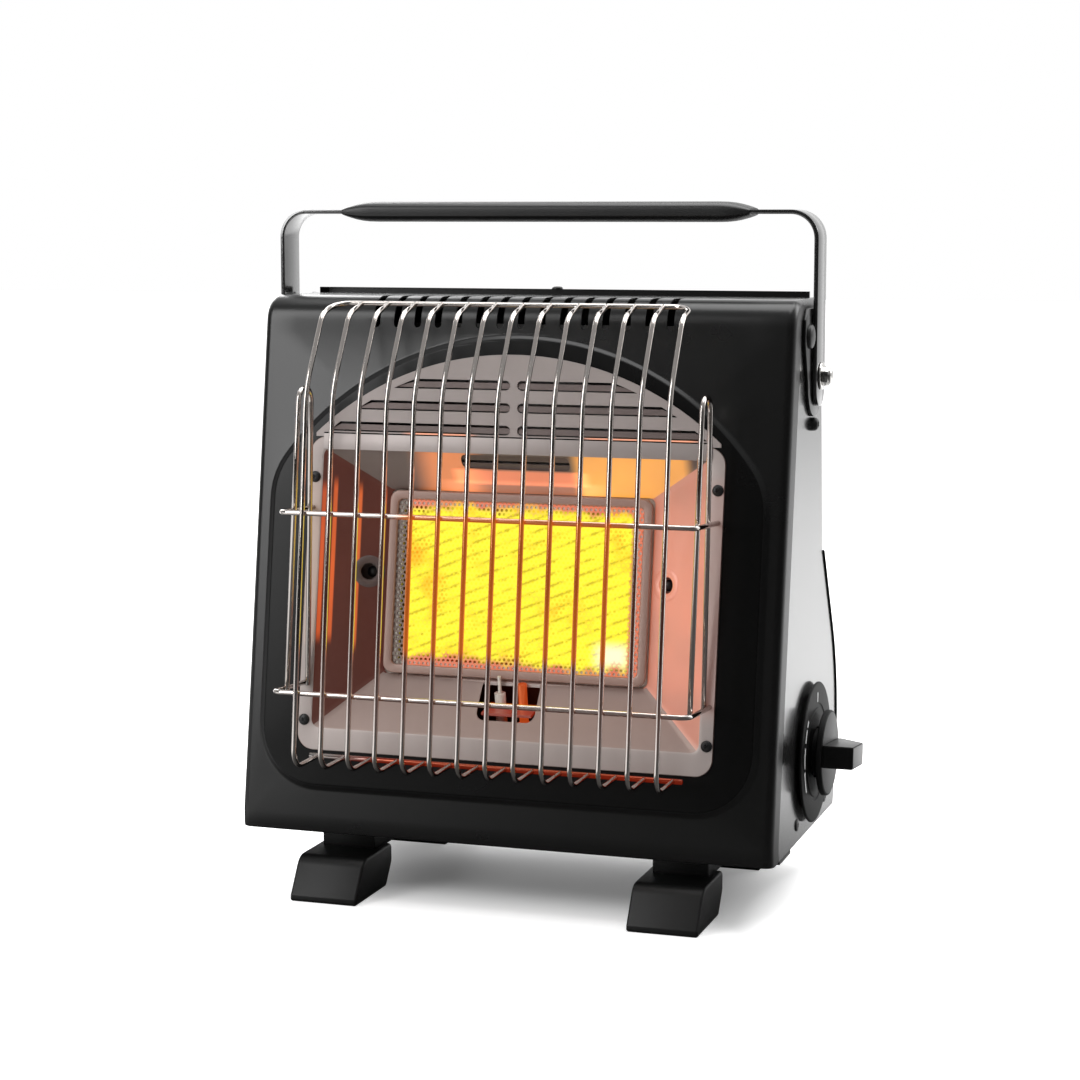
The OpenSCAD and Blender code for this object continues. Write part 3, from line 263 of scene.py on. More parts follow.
def thicken(obj, thickness, smooth):
    """Gives a sheet its thickness, behind its front."""
    wall = obj.modifiers.new("sheet", "SOLIDIFY")
    wall.thickness, wall.offset = thickness * MM, -1.0
    settle(obj, smooth)


def cut_out(obj, bm, smooth=35):
    """Cuts a solid out of an object."""
    bmesh.ops.recalc_face_normals(bm, faces=bm.faces)
    mesh = bpy.data.meshes.new("cutter")
    bm.to_mesh(mesh)
    bm.free()
    tool = bpy.data.objects.new("cutter", mesh)
    bpy.context.scene.collection.objects.link(tool)
    bite = obj.modifiers.new("cut", "BOOLEAN")
    bite.operation, bite.solver, bite.object = "DIFFERENCE", "EXACT", tool
    settle(obj, smooth)
    bpy.data.objects.remove(tool)
    bpy.data.meshes.remove(mesh)


def faces_by(obj, pick):
    """Gives each face of an object the material picked for it."""
    slots = obj.data.materials
    for face in obj.data.polygons:
        material = pick(face)
        if material.name not in slots:
            slots.append(material)
        face.material_index = slots.find(material.name)


# Shader nodes
BLACK, WHITE = (0, 0, 0, 1), (1, 1, 1, 1)


def color(value):
    """A node's color from red, green and blue, or from one number for a grey."""
    return (value, value, value, 1) if isinstance(value, float) else (*value, 1)


def new_group(name, inputs, outputs):
    """A node group, the sockets it is given and the node that takes its results."""
    tree = bpy.data.node_groups.new(name, "ShaderNodeTree")
    for label, kind, value in [("Vector", "Vector", (0, 0, 0))] + inputs:
        socket = tree.interface.new_socket(label, in_out="INPUT", socket_type="NodeSocket" + kind)
        socket.default_value = value
    for label, kind in outputs:
        tree.interface.new_socket(label, in_out="OUTPUT", socket_type="NodeSocket" + kind)
    return tree, tree.nodes.new("NodeGroupInput").outputs, tree.nodes.new("NodeGroupOutput")


def add(tree, kind, links=(), **values):
    """A node with its settings; each input is given a source socket or a value."""
    made = tree.nodes.new("ShaderNode" + kind)
    for key, value in values.items():
        setattr(made, key, value)
    for label, source in links:
        if isinstance(source, bpy.types.NodeSocket):
            tree.links.new(source, made.inputs[label])
        else:
            made.inputs[label].default_value = source
    return made


def send(source, node, label):
    source.id_data.links.new(source, node.inputs[label])


def number(operation, a, b=0.0, c=0.0, clamp=False):
    return add(a.id_data, "Math", [(0, a), (1, b), (2, c)], operation=operation, use_clamp=clamp).outputs[0]


def times(value, *factors):
    for factor in factors:
        value = number("MULTIPLY", value, factor)
    return value


def plus(value, factor, rest, clamp=False):
    """value x factor + rest"""
    return number("MULTIPLY_ADD", value, factor, rest, clamp)


def vectors(tree, operation, a, b):
    return add(tree, "VectorMath", [(0, a), (1, b)], operation=operation).outputs[0]


def blend_colors(factor, a, b):
    return add(factor.id_data, "Mix", [(0, factor), (6, a), (7, b)], data_type="RGBA").outputs[2]


def noise(vector, scale, detail):
    links = [("Vector", vector), ("Scale", scale), ("Detail", detail)]
    return add(vector.id_data, "TexNoise", links).outputs["Fac"]


def ramp(value, start, end):
    """A smooth step from 0 to 1 between two values."""
    links = [("Value", value), ("From Min", start), ("From Max", end)]
    return add(value.id_data, "MapRange", links, interpolation_type="SMOOTHSTEP").outputs["Result"]


# Shared effects
SURFACE_IN = [("Dark", "Color", BLACK), ("Light", "Color", WHITE), ("Rough", "Float", 0.4),
              ("Spread", "Float", 0.1)]
SURFACE_OUT = [("Color", "Color"), ("Roughness", "Float"), ("Height", "Float")]


def surface(tree, given, result, mixed, uneven, height):
    """Sends a surface's color, roughness and height out of its group."""
    send(blend_colors(mixed, given["Dark"], given["Light"]), result, "Color")
    swing = number("SUBTRACT", uneven, 0.5)
    send(plus(swing, given["Spread"], given["Rough"]), result, "Roughness")
    send(height, result, "Height")
    return tree


def grain_group():
    """Fine grain with broad uneven patches, for paint, plastic and plain metal."""
    tree, given, result = new_group("grain", SURFACE_IN + [("Scale", "Float", 900.0)], SURFACE_OUT)
    fine = noise(given["Vector"], given["Scale"], 3.0)
    broad = noise(given["Vector"], 16.0, 4.0)
    mixed = plus(fine, 0.4, times(broad, 0.6))
    return surface(tree, given, result, mixed, broad, fine)


def brush_group():
    """Drawn or brushed sheet metal: noise stretched along one direction."""
    stretch = ("Stretch", "Vector", (40, 900, 900))
    tree, given, result = new_group("brushed", SURFACE_IN + [stretch], SURFACE_OUT)
    fine = noise(vectors(tree, "MULTIPLY", given["Vector"], given["Stretch"]), 1.0, 3.0)
    broad = noise(given["Vector"], 22.0, 3.0)
    mixed = plus(fine, 0.5, times(broad, 0.5))
    return surface(tree, given, result, mixed, fine, fine)


def on_slope(vector):
    """Millimetres across and up the front's slope, from the piece's own coordinates."""
    parts = add(vector.id_data, "SeparateXYZ", [(0, vector)])
    x = plus(parts.outputs[0], 1 / MM, MIDDLE_X)
    lift = plus(parts.outputs[2], COS / MM, FRONT_Y * SIN - BASE * COS)
    return x, plus(parts.outputs[1], SIN / MM, lift)


def patch(x, v, x_span, v_span, soft):
    """1 inside a box on the slope, fading to 0 outside it."""
    sides = [ramp(x, x_span[0] - soft[0], x_span[0]), ramp(x, x_span[1] + soft[0], x_span[1])]
    ends = [ramp(v, v_span[0] - soft[1], v_span[0]), ramp(v, v_span[1] + soft[1], v_span[1])]
    return times(*sides, *ends)


# The burner's lit box, the glowing box round it and its hottest spot: spans in x and v, soft edges
LIT_BOX = ((-52.5, 53.0), (86.5, 151.0), (2.0, 5.0))
GLOW_BOX = ((-53.5, 60.0), (80.0, 158.0), (1.5, 1.0))
HOT_SPOT = ((44.0, 50.0), (88.0, 91.0), (9.0, 7.0))
ROW_SLANT, ROW_CLIMB, ROW_DARK = -0.45, 1.12, 0.75
ROW_COLOR, SPOT_COLOR = (0.5, 0.33, 0.01, 1), (1.0, 1.0, 0.75, 1)


def heat_group():
    """Glow of the burner: yellow with orange patches, a red fringe, slanting dark rows, an unlit border."""
    tree, given, result = new_group("heat", [(label, "Color", BLACK) for label in ("Hot", "Warm", "Fringe")],
                           [("Color", "Color"), ("Level", "Float")])
    x, v = on_slope(given["Vector"])
    broad = noise(given["Vector"], 45.0, 2.0)
    small = noise(given["Vector"], 170.0, 2.0)
    ragged = plus(broad, 16.0, plus(small, 8.0, -12.0))
    lit = patch(x, number("ADD", v, ragged), *LIT_BOX)
    glowing = patch(x, v, *GLOW_BOX)
    wave = number("SINE", plus(x, ROW_SLANT, times(v, ROW_CLIMB)))
    rows = number("POWER", plus(wave, 0.5, 0.5), 7.0)
    dashes = plus(small, 5.0, -1.9, clamp=True)
    fierce = plus(broad, 4.2, plus(small, 1.6, -1.8), clamp=True)
    hot = blend_colors(fierce, given["Warm"], given["Hot"])
    hot = blend_colors(times(rows, dashes, ROW_DARK), hot, ROW_COLOR)
    hot = blend_colors(times(patch(x, v, *HOT_SPOT), 0.8), hot, SPOT_COLOR)
    edge = blend_colors(glowing, BLACK, given["Fringe"])
    send(blend_colors(lit, edge, hot), result, "Color")
    send(lit, result, "Level")
    return tree


def spill_group(name, lobes):
    """Painted burner light on the metal round it: glowing patches on the slope, with spans, soft edges and
    colors, stand for the burner's light caught there.
    """
    tree, given, result = new_group(name, [], [("Color", "Color"), ("Level", "Float")])
    x, v = on_slope(given["Vector"])
    uneven = plus(noise(given["Vector"], 30.0, 2.0), 0.9, 0.55)
    total = (0, 0, 0)
    for x_span, v_span, soft, tint in lobes:
        inside = patch(x, v, x_span, v_span, soft)
        if not result.inputs["Level"].is_linked:
            send(inside, result, "Level")
        level = times(inside, uneven)
        tinted = add(tree, "VectorMath", [(0, tint), ("Scale", level)], operation="SCALE").outputs[0]
        total = vectors(tree, "ADD", total, tinted)
    send(total, result, "Color")
    return tree


GRAIN, BRUSH, HEAT = grain_group(), brush_group(), heat_group()
GRAIN_DEPTH = 0.0002
GLOW_STRENGTH = 1.1


# Materials
def shared(tree, group, *values):
    """A shared effect in the piece's own coordinates."""
    coords = add(tree, "TexCoord").outputs["Object"]
    return add(tree, "Group", [("Vector", coords), *values], node_tree=group)


def look(name, dark, light, rough, spread=0.08, bump=0.1, scale=900, stretch=None, **shader):
    """A Principled material with grain of one scale, or brushed where a stretch is given."""
    material = bpy.data.materials.new(name)
    material.use_nodes = True
    tree = material.node_tree
    main = tree.nodes["Principled BSDF"]
    size = ("Stretch", stretch) if stretch else ("Scale", scale)
    effect = shared(tree, BRUSH if stretch else GRAIN, size, ("Dark", color(dark)), ("Light", color(light)),
                    ("Rough", rough), ("Spread", spread))
    relief = add(tree, "Bump", [("Height", effect.outputs["Height"]), ("Strength", bump),
                                ("Distance", GRAIN_DEPTH)])
    send(effect.outputs["Color"], main, "Base Color")
    send(effect.outputs["Roughness"], main, "Roughness")
    send(relief.outputs[0], main, "Normal")
    for label, value in shader.items():
        main.inputs[label.replace("_", " ")].default_value = value
    return material


def repaint(material, factor, over):
    """Blends another color over a material's own."""
    main = material.node_tree.nodes["Principled BSDF"]
    send(blend_colors(factor, main.inputs["Base Color"].links[0].from_socket, over), main, "Base Color")


def shine(material, effect, strength):
    """Makes a material give off an effect's color."""
    main = material.node_tree.nodes["Principled BSDF"]
    send(effect.outputs["Color"], main, "Emission Color")
    main.inputs["Emission Strength"].default_value = strength


def spill(material, *lobes, under=None):
    """Adds painted patches of burner light to a material as emission, the first also painted over another
    color if one is given.
    """
    effect = shared(material.node_tree, spill_group(material.name + "_light", lobes))
    shine(material, effect, 1.0)
    if under:
        repaint(material, effect.outputs["Level"], color(under))
    return material


def glow(material, hot, warm, fringe):
    """Adds the burner's glow to a material."""
    effect = shared(material.node_tree, HEAT, ("Hot", color(hot)), ("Warm", color(warm)),
                    ("Fringe", color(fringe)))
    repaint(material, effect.outputs["Level"], BLACK)
    shine(material, effect, GLOW_STRENGTH)
    return material


# Paint and plastic
SATIN = {"rough": 0.28, "spread": 0.06, "bump": 0.04, "scale": 1400}
ENAMEL = {"spread": 0.05, "bump": 0.03, "scale": 700}
MOULDED = {"spread": 0.1, "bump": 0.12, "scale": 1600}
coat = look("satin_black_coat", 0.0025, 0.005, **SATIN)
# A lighter copy of the coat with weaker reflections for the front shell's faces turned sideways: painted
# light by face direction
sideways_lit_coat = look("black_coat_sideways_lit", 0.008, 0.014, rough=0.36, bump=0.05, scale=1400, Specular_IOR_Level=0.45)
# A darker copy of the coat with weaker reflections for the field's band set in round the opening: painted
# shade
field_shade_coat = look("field_shade_coat", 0.002, 0.004, **SATIN, Specular_IOR_Level=0.2)
# A dull black put where only shade falls: in the gap at the louvre plate's foot, on the door's sideways faces
# and along its edges
painted_shade_black = look("painted_shade_black", 0.003, 0.006, rough=0.7, spread=0.05, bump=0.05, Specular_IOR_Level=0.05)
gloss = look("gloss_black_paint", 0.01, 0.018, rough=0.2, **ENAMEL, IOR=1.7, Coat_Weight=0.5,
             Coat_Roughness=0.12)
strap_gloss = look("strap_gloss", 0.008, 0.014, rough=0.16, **ENAMEL, IOR=2.1, Coat_Weight=0.7,
                   Coat_Roughness=0.1)
foot_plastic = look("foot_plastic", 0.004, 0.009, rough=0.42, spread=0.1, bump=0.15, scale=1800,
                    Specular_IOR_Level=0.3)
grip_plastic = look("grip_plastic", 0.005, 0.012, rough=0.38, **MOULDED)
knob_plastic = look("knob_plastic", 0.004, 0.009, rough=0.5, **MOULDED, Specular_IOR_Level=0.1)
# Lighter, shinier copies of the knob plastic for the disc's outer face and the bar's end and top: painted
# light by face direction
lit_disc_plastic = look("lit_disc_plastic", 0.015, 0.03, rough=0.4, **MOULDED, Specular_IOR_Level=0.25)
lit_bar_plastic = look("lit_bar_plastic", 0.015, 0.03, rough=0.3, spread=0.1, scale=1600, Specular_IOR_Level=0.6)
mark_paint = look("mark_paint", 0.75, 0.9, rough=0.5)
piezo = look("piezo_plastic", (0.5, 0.47, 0.4), (0.66, 0.63, 0.56), rough=0.45, scale=700)
sleeve = look("silicone_sleeve", (0.18, 0.02, 0.012), (0.32, 0.05, 0.03), rough=0.55)

# Plain metal, ceramic and packing
black_screw = look("black_screw", 0.006, 0.02, rough=0.38, Metallic=0.2)
zinc = look("zinc_plate", (0.3, 0.3, 0.31), (0.48, 0.48, 0.49), rough=0.32, spread=0.15, scale=500,
            Metallic=1.0)
chrome = look("chrome_plate", (0.6, 0.59, 0.57), (0.78, 0.76, 0.74), rough=0.16, spread=0.1, bump=0.02,
              scale=300, Metallic=1.0)
shield_steel = look("shield_steel", 0.2, 0.3, rough=0.45, spread=0.1, bump=0.05, stretch=(60, 900, 900),
                    Metallic=1.0)
brass = look("turned_brass", (0.5, 0.34, 0.11), (0.68, 0.5, 0.2), rough=0.28, spread=0.1, scale=300,
             Metallic=1.0)
alloy = look("cast_alloy", (0.42, 0.42, 0.43), (0.58, 0.58, 0.59), rough=0.45, spread=0.1, bump=0.2,
             scale=800, Metallic=1.0)
magnet = look("sintered_magnet", (0.03, 0.03, 0.033), (0.07, 0.07, 0.075), rough=0.6, spread=0.1, bump=0.3,
              Metallic=0.5)
# Its red emission is a painted glow of the burner on the sensor
copper = look("copper_sensor", (0.55, 0.2, 0.08), (0.75, 0.34, 0.16), rough=0.3, spread=0.1, scale=400,
              Metallic=1.0, Emission_Color=(1.0, 0.12, 0.02, 1), Emission_Strength=0.4)
ceramic = look("white_ceramic", (0.72, 0.68, 0.6), (0.88, 0.85, 0.78), rough=0.35, scale=400)
fibre = look("fibre_packing", (0.5, 0.47, 0.42), (0.72, 0.69, 0.63), rough=0.95, spread=0.05, bump=0.6,
             scale=700)

# Metal with the burner's light painted on: emission patches stand for its glow caught and reflected, and some
# pieces take lit or shaded copies of their steel
BRIGHT = {"spread": 0.02, "bump": 0.0, "scale": 300, "Metallic": 1.0}
PAN = {"rough": 0.42, "spread": 0.06, "bump": 0.02, "scale": 250, "Metallic": 0.35}
# The wires: over the burner their color is painted orange-brown and they give off orange, a painted glow of
# the burner on them
wire = spill(
    look("bright_wire", (0.62, 0.57, 0.54), (0.76, 0.71, 0.67), rough=0.1, **BRIGHT),
    ((-34, 64), (91, 146), (9, 8), (0.34, 0.075, 0.008)),
    ((-70, 84), (60, 165), (16, 16), (0.03, 0.006, 0.002)),
    under=(0.42, 0.2, 0.09))
# The low rail: a darker copy of the wire's chrome with a red patch of emission, painted shade and a painted
# red reflection of the burner
low_wire = spill(
    look("low_rail_wire", (0.46, 0.42, 0.4), (0.58, 0.54, 0.51), rough=0.12, **BRIGHT),
    ((-50, 84), (30, 50), (34, 4), (0.13, 0.008, 0.002)),
    under=(0.16, 0.05, 0.03))
pan = spill(
    look("pan_steel", (0.42, 0.365, 0.345), (0.47, 0.41, 0.39), **PAN),
    ((-98, -94), (92, 160), (1.5, 8), (0.1, 0.05, 0.02)),
    ((94, 99), (70, 165), (2, 10), (0.06, 0.012, 0.006)))
# Lit and shaded copies of the pan steel, one per wall by the way it faces: the left wall painted dark with
# painted streaks of burner light, the right wall painted salmon by burner light, the top wall painted dark
# with orange patches of painted glow, the low wall a shaded pinkish copy without glow
pan_left_shade = spill(
    look("pan_left_shade", (0.07, 0.04, 0.035), (0.1, 0.06, 0.05), **PAN),
    ((-94, -60), (50, 180), (2, 4), (0.045, 0.006, 0.003)),
    ((-92.4, -91.4), (95, 158), (0.7, 8), (0.5, 0.07, 0.01)),
    ((-87.7, -86.7), (95, 160), (0.7, 8), (0.55, 0.09, 0.015)),
    ((-77.4, -76.4), (92, 158), (0.8, 8), (0.6, 0.11, 0.02)),
    ((-67.1, -66.2), (92, 158), (0.7, 8), (0.55, 0.09, 0.015)))
pan_right_lit = spill(
    look("pan_right_lit", (0.42, 0.3, 0.26), (0.47, 0.35, 0.3), **PAN),
    ((60, 95), (56, 176), (3, 10), (0.3, 0.055, 0.02)),
    ((70, 92), (84, 152), (6, 16), (0.16, 0.05, 0.03)))
pan_top = spill(
    look("pan_top", (0.2, 0.16, 0.14), (0.25, 0.2, 0.18), **PAN),
    ((32, 78), (160, 180), (7, 3), (0.85, 0.34, 0.045)),
    ((-38, -28), (163, 180), (16, 3), (0.62, 0.17, 0.04)),
    ((-28, 31), (166.5, 171.2), (5, 1.5), (0.7, 0.17, 0.07)),
    ((-30, 34), (161, 166), (12, 2), (0.3, 0.1, 0.05)))
pan_low = look("pan_low", (0.32, 0.24, 0.215), (0.37, 0.28, 0.25), **PAN)
# A darker copy of the steel for flaps set in behind slots and for the left wall hole's collar: painted shade
shaded_flap_steel = look("shaded_flap_steel", (0.13, 0.1, 0.095), (0.18, 0.14, 0.13), **PAN)
frame_steel = spill(
    look("frame_steel", (0.29, 0.22, 0.195), (0.34, 0.265, 0.235), **PAN),
    ((-66, 66), (74, 163), (3, 3), (0.05, 0.012, 0.004)))
# Two orange strips of painted burner light along the louvre plate's foot
louvre = spill(
    look("louvre_steel", (0.4, 0.355, 0.34), (0.47, 0.415, 0.4), **PAN),
    ((-48, -24), (187, 188.6), (8, 0.6), (0.7, 0.2, 0.06)),
    ((38, 82), (187, 188.6), (8, 0.6), (0.7, 0.2, 0.06)))
# A darker copy of the zinc with a maroon glow where the window shows the burner box: painted shade and
# painted burner glow
shaded_zinc_painted_glow = spill(
    look("shaded_zinc_painted_glow", (0.2, 0.16, 0.15), (0.32, 0.26, 0.24), rough=0.4, scale=500, Metallic=0.8),
    ((-20, 20), (48, 82), (3, 3), (0.22, 0.016, 0.005)))

# The lit burner
screen = glow(look("screen_steel", (0.17, 0.13, 0.11), (0.3, 0.24, 0.21), rough=0.5, scale=700, Metallic=0.5),
              hot=(1.0, 0.9, 0.05), warm=(1.0, 0.55, 0.03), fringe=(0.55, 0.09, 0.025))
plaque = glow(look("hot_plaque", (0.05, 0.03, 0.02), (0.09, 0.05, 0.03), rough=0.9, scale=600),
              hot=(1.0, 0.88, 0.04), warm=(0.95, 0.36, 0.015), fringe=(0.1, 0.006, 0.002))

# Front panel: pressed field, rolled top with vents, sides wrapped back to the seam
EDGE, ROLL = 4.0, 13.0
INNER_X = HALF - EDGE
FACE_LOW, FACE_HIGH = 8.8, 234.5
FACE_V = [FACE_LOW + (226 - FACE_LOW) * k / 46 for k in range(47)] + [FACE_HIGH]
BOTTOM_X = [-INNER_X + 2 * INNER_X * k / 60 for k in range(61)]
LIP = [slope(FACE_LOW), (1.46, 31.4), (1.75, 30.4), (2.6, 30.0), (14.0, 30.0)]
MARGIN_X = [-INNER_X, -111, -98, -85]
VENTS = [(i - 7) * 10.07 for i in range(15)]
VENT_HALF, VENT_TIP_HALF = 1.65, 0.7
VENT_START, VENT_END, WRAP_END = 236.6, 56, 57.7
FIELD_HALF, FIELD_LOW, FIELD_TOP = 118.5, 21.5, 232.8
CORNER, SHOULDER, ARCH = 28, 34, 139
FIELD_W = -2.0
FIELD_CENTRE = (0, 128)


def field_line(grow):
    """The pressed field's outline, grown: lower corners, shoulders and the arch between them."""
    x, foot_x, foot_v = FIELD_HALF - SHOULDER, FIELD_HALF - CORNER, FIELD_LOW + CORNER
    arch_v = FIELD_TOP - ARCH
    v = arch_v + sqrt((ARCH - SHOULDER) ** 2 - x ** 2)
    turn = degrees(atan2(v - arch_v, x))
    return (arc(foot_x, foot_v, CORNER + grow, -90, 0, 14) + arc(x, v, SHOULDER + grow, 0, turn, 12)
            + arc(0, arch_v, ARCH + grow, turn, 180 - turn, 48)
            + arc(-x, v, SHOULDER + grow, 180 - turn, 180, 12)
            + arc(-foot_x, foot_v, CORNER + grow, 180, 270, 14))


def hit(line, toward):
    """Where the ray from the field's centre through a point meets an outline."""
    cx, cy = FIELD_CENTRE
    dx, dy = toward[0] - cx, toward[1] - cy
    best = 0
    for (ax, ay), (bx, by) in zip(line, line[1:] + line[:1]):
        ex, ey = bx - ax, by - ay
        det = ex * dy - ey * dx
        if abs(det) < 1e-12:
            continue
        t = (ex * (ay - cy) - ey * (ax - cx)) / det
        s = (dx * (ay - cy) - dy * (ax - cx)) / det
        if -1e-9 <= s <= 1 + 1e-9:
            best = max(best, t)
    return (cx + dx * best, cy + dy * best)


def vent_row(half):
    """Places across the top, with the two sides of every vent."""
    return MARGIN_X + [x + s * half for x in VENTS for s in SIDES] + [-x for x in reversed(MARGIN_X)]


def pressed_field(bm):
    """The flat face and the field pressed forward in it, in to the opening."""
    outer = ([(x, FACE_LOW) for x in BOTTOM_X[:-1]] + [(INNER_X, v) for v in FACE_V[:-1]]
             + [(x, FACE_HIGH) for x in reversed(vent_row(VENT_HALF)[1:])]
             + [(-INNER_X, v) for v in reversed(FACE_V[1:])])
    opening = [(-92.5, 48.5), (92.5, 48.5), (92.5, 182)] + arc(0, 81, 135.4, 48.2, 131.8, 40) + [(-92.5, 182)]
    bend = ((1.9, 0), (1.2, -0.12), (0.6, -0.55), (0, -1.0), (-0.6, -1.45), (-1.2, -1.88), (-1.9, FIELD_W))
    lines = [(field_line(grow), w) for grow, w in bend] + [(opening, FIELD_W)]
    rows = [front_line(outer, 0)]
    rows += [[front(*hit(line, spot), w) for spot in outer] for line, w in lines]
    skin(bm, rows)


def top_profile():
    """The profile over the top: each (y, z), the direction into the casing and whether vents end there."""
    line = [(slope(v), FACE_IN, v == VENT_START) for v in (VENT_START, 237.9)]
    roll_y, roll_z = face_y(TOP - ROLL) + ROLL / COS, TOP - ROLL
    for y, z in arc(roll_y, roll_z, ROLL, 180 - degrees(LEAN), 90, 12):
        line.append(((y, z), ((roll_y - y) / ROLL, (roll_z - z) / ROLL), False))
    for y in (51, 54.7, VENT_END, WRAP_END, 66, 76, 88.7):
        line.append(((y, TOP), (0.0, -1.0), y == VENT_END))
    return line


def vented_top(bm, profile):
    """The roll over the top, with the vents left open."""
    rows = [[front(x, FACE_HIGH, 0) for x in vent_row(VENT_HALF)]]
    for (y, z), _, tip in profile:
        rows.append([place(x, y, z) for x in vent_row(VENT_TIP_HALF if tip else VENT_HALF)])
    grid = [verts for verts, _ in skin(bm, rows, closed=False)]
    stop = 1 + next(i for i, ((y, _), _, _) in enumerate(profile) if y == VENT_END)
    gone = []
    for low, high in zip(grid[1:stop], grid[2:stop + 1]):
        for i in range(len(VENTS)):
            a = len(MARGIN_X) + 2 * i
            gone += [f for f in low[a].link_faces if low[a + 1] in f.verts and high[a] in f.verts]
    bmesh.ops.delete(bm, geom=gone, context="FACES")


def wrapped_sides(bm, profile):
    """The rounded edge on each side, then the wrap back to the seam."""
    edge = [(spot, (1.0, 0.0)) for spot in reversed(LIP[1:4])]
    edge += [(slope(v), FACE_IN) for v in FACE_V]
    edge += [(spot, inward) for spot, inward, _ in profile]
    seam = [(14.4, z) for z in (30.0, 30.4, 31.4)]
    seam += [slope(v, ROLL) for v in FACE_V[:-1]]
    last = next(i for i, ((y, _), _) in enumerate(edge) if y == WRAP_END)
    bend = [seam[-1]] + arc(WRAP_END, 263, 11, 170, 90, 12)
    seam += [tuple(spot) for spot in resample(bend, last - len(seam) + 2)[1:]]
    for side in SIDES:
        rows = []
        for turn in range(0, 91, 15):
            a = radians(turn)
            d, x = EDGE * (1 - cos(a)), side * (INNER_X + EDGE * sin(a))
            rows.append([place(x, y + n[0] * d, z + n[1] * d) for (y, z), n in edge])
        skin(bm, rows, closed=False)
        wrap = [(y + n[0] * EDGE, z + n[1] * EDGE) for (y, z), n in edge[:last + 1]]
        skin(bm, [side_line(side * HALF, line) for line in (wrap, seam)], closed=False)


def front_panel():
    bm = bmesh.new()
    profile = top_profile()
    pressed_field(bm)
    vented_top(bm, profile)
    skin(bm, [[place(x, y, z) for x in BOTTOM_X] for y, z in LIP], closed=False)
    wrapped_sides(bm, profile)
    bmesh.ops.remove_doubles(bm, verts=bm.verts, dist=2e-6)
    bmesh.ops.dissolve_degenerate(bm, edges=bm.edges, dist=1e-7)
    obj = make("front_shell", bm, coat, "casing_black", "front_panel", smooth=40, open_sheet=True)

    # Copies of the paint picked by face: the lighter one on faces turned sideways, the gloss on the flat top
    # as a painted sheen, the darker one on the field's set-in band as painted shade
    def pick(face):
        if abs(face.normal.x) > 0.97:
            return sideways_lit_coat
        if face.normal.z > 0.99:
            return gloss
        depth = (face.center.y / MM + FRONT_Y) * COS - (face.center.z / MM - BASE) * SIN
        return field_shade_coat if depth < -1.7 else coat

    faces_by(obj, pick)
    thicken(obj, 1.0, 40)


front_panel()

# Guard
WIRE, RAIL = 1.15, 1.2
GUARD_HALF, WIRE_STEP = 84.5, 13
RAIL_HALF, LOOP_X = 97, 94.8
LOW_Y, LOW_Z = -7, 68.6
UPRIGHT = [(20, 275.4), (3.8, 271), (-16, 238), (-21, 190), (-35.6, LOW_Z), (LOW_Y, LOW_Z)]
BENDS = [0, 12, 45, 120, 8, 0]


def upright_y(z):
    """How far back an upright is at a height."""
    for (y0, z0), (y1, z1) in zip(UPRIGHT, UPRIGHT[1:-1]):
        if z1 <= z <= z0:
            return y1 + (y0 - y1) * (z - z1) / (z0 - z1)


def wires(name, material, stands_for, paths, r, sides=16):
    """Wires along paths of (x, y, z), as one piece."""
    bm = bmesh.new()
    for path in paths:
        tube(bm, [place(*p) for p in path], r, sides)
    make(name, bm, material, "chrome", stands_for, smooth=60)


def guard():
    line = rounded(UPRIGHT, BENDS, 10)
    bars = [[(WIRE_STEP * i - GUARD_HALF, y, z) for y, z in line] for i in range(1, 13)]
    wires("guard_bars", wire, "guard_uprights", bars, WIRE, 14)
    left = [(-GUARD_HALF, y, z) for y, z in reversed(UPRIGHT)]
    right = [(GUARD_HALF, y, z) for y, z in UPRIGHT]
    turns = list(reversed(BENDS[1:])) + [8, 8] + BENDS[1:]
    wires("guard_frame_wire", wire, "guard_outer_wire", [rounded(left + right, turns, 10)], WIRE, 14)
    low_rail = [(x, LOW_Y, LOW_Z) for x in (-88.5, -40, 0, 40, 88.5)]
    wires("guard_low_rail", low_wire, "guard_bottom_rail", [low_rail], RAIL)
    rails = []
    for z in (102.0, 182.6):
        low = z - 2.8
        y, back = upright_y(z) + 2.15, face_y(low) + 7
        path = [(-RAIL_HALF, back, low), (-RAIL_HALF, y, z), (RAIL_HALF, y, z), (RAIL_HALF, back, low)]
        rails.append(rounded(path, [5] * 4, 10))
    wires("guard_rails", wire, "guard_cross_rails", rails, RAIL)
    loops = []
    for side in SIDES:
        spots = ((100.3, 28.5), (237, 31), (237, 17), (98.9, 4.5))
        path = [(side * LOOP_X, face_y(z) - out, z) for z, out in spots]
        loops.append(rounded(path, [6.8] * 4, 10))
    wires("guard_loops", wire, "guard_side_loops", loops, RAIL)


guard()

# Reflector: a flange, four sloping walls with an upper slot, a lower window and two wall holes
RIM_X, RIM_V, RIM_W = 92.2, 179.2, -2.2
FOOT_X, FOOT_V, FOOT_W = 64.6, 162.4, 11.6
HOLE_X, HOLE_V, HOLE_R = 71.75, 123, 4.2
WALL_RUN, WALL_DEPTH = 28.5, 14.2


def frame_rows(steps, n):
    """Rounded rectangles on the front, each with its half width, low and high ends, corner and depth."""
    return [front_line(rounded_box(*sizes, n), w) for *sizes, w in steps]


def front_cutter(outline, start, end):
    bm = bmesh.new()
    plate(bm, front_line(outline, start), front_way(0, 0, end - start))
    return bm


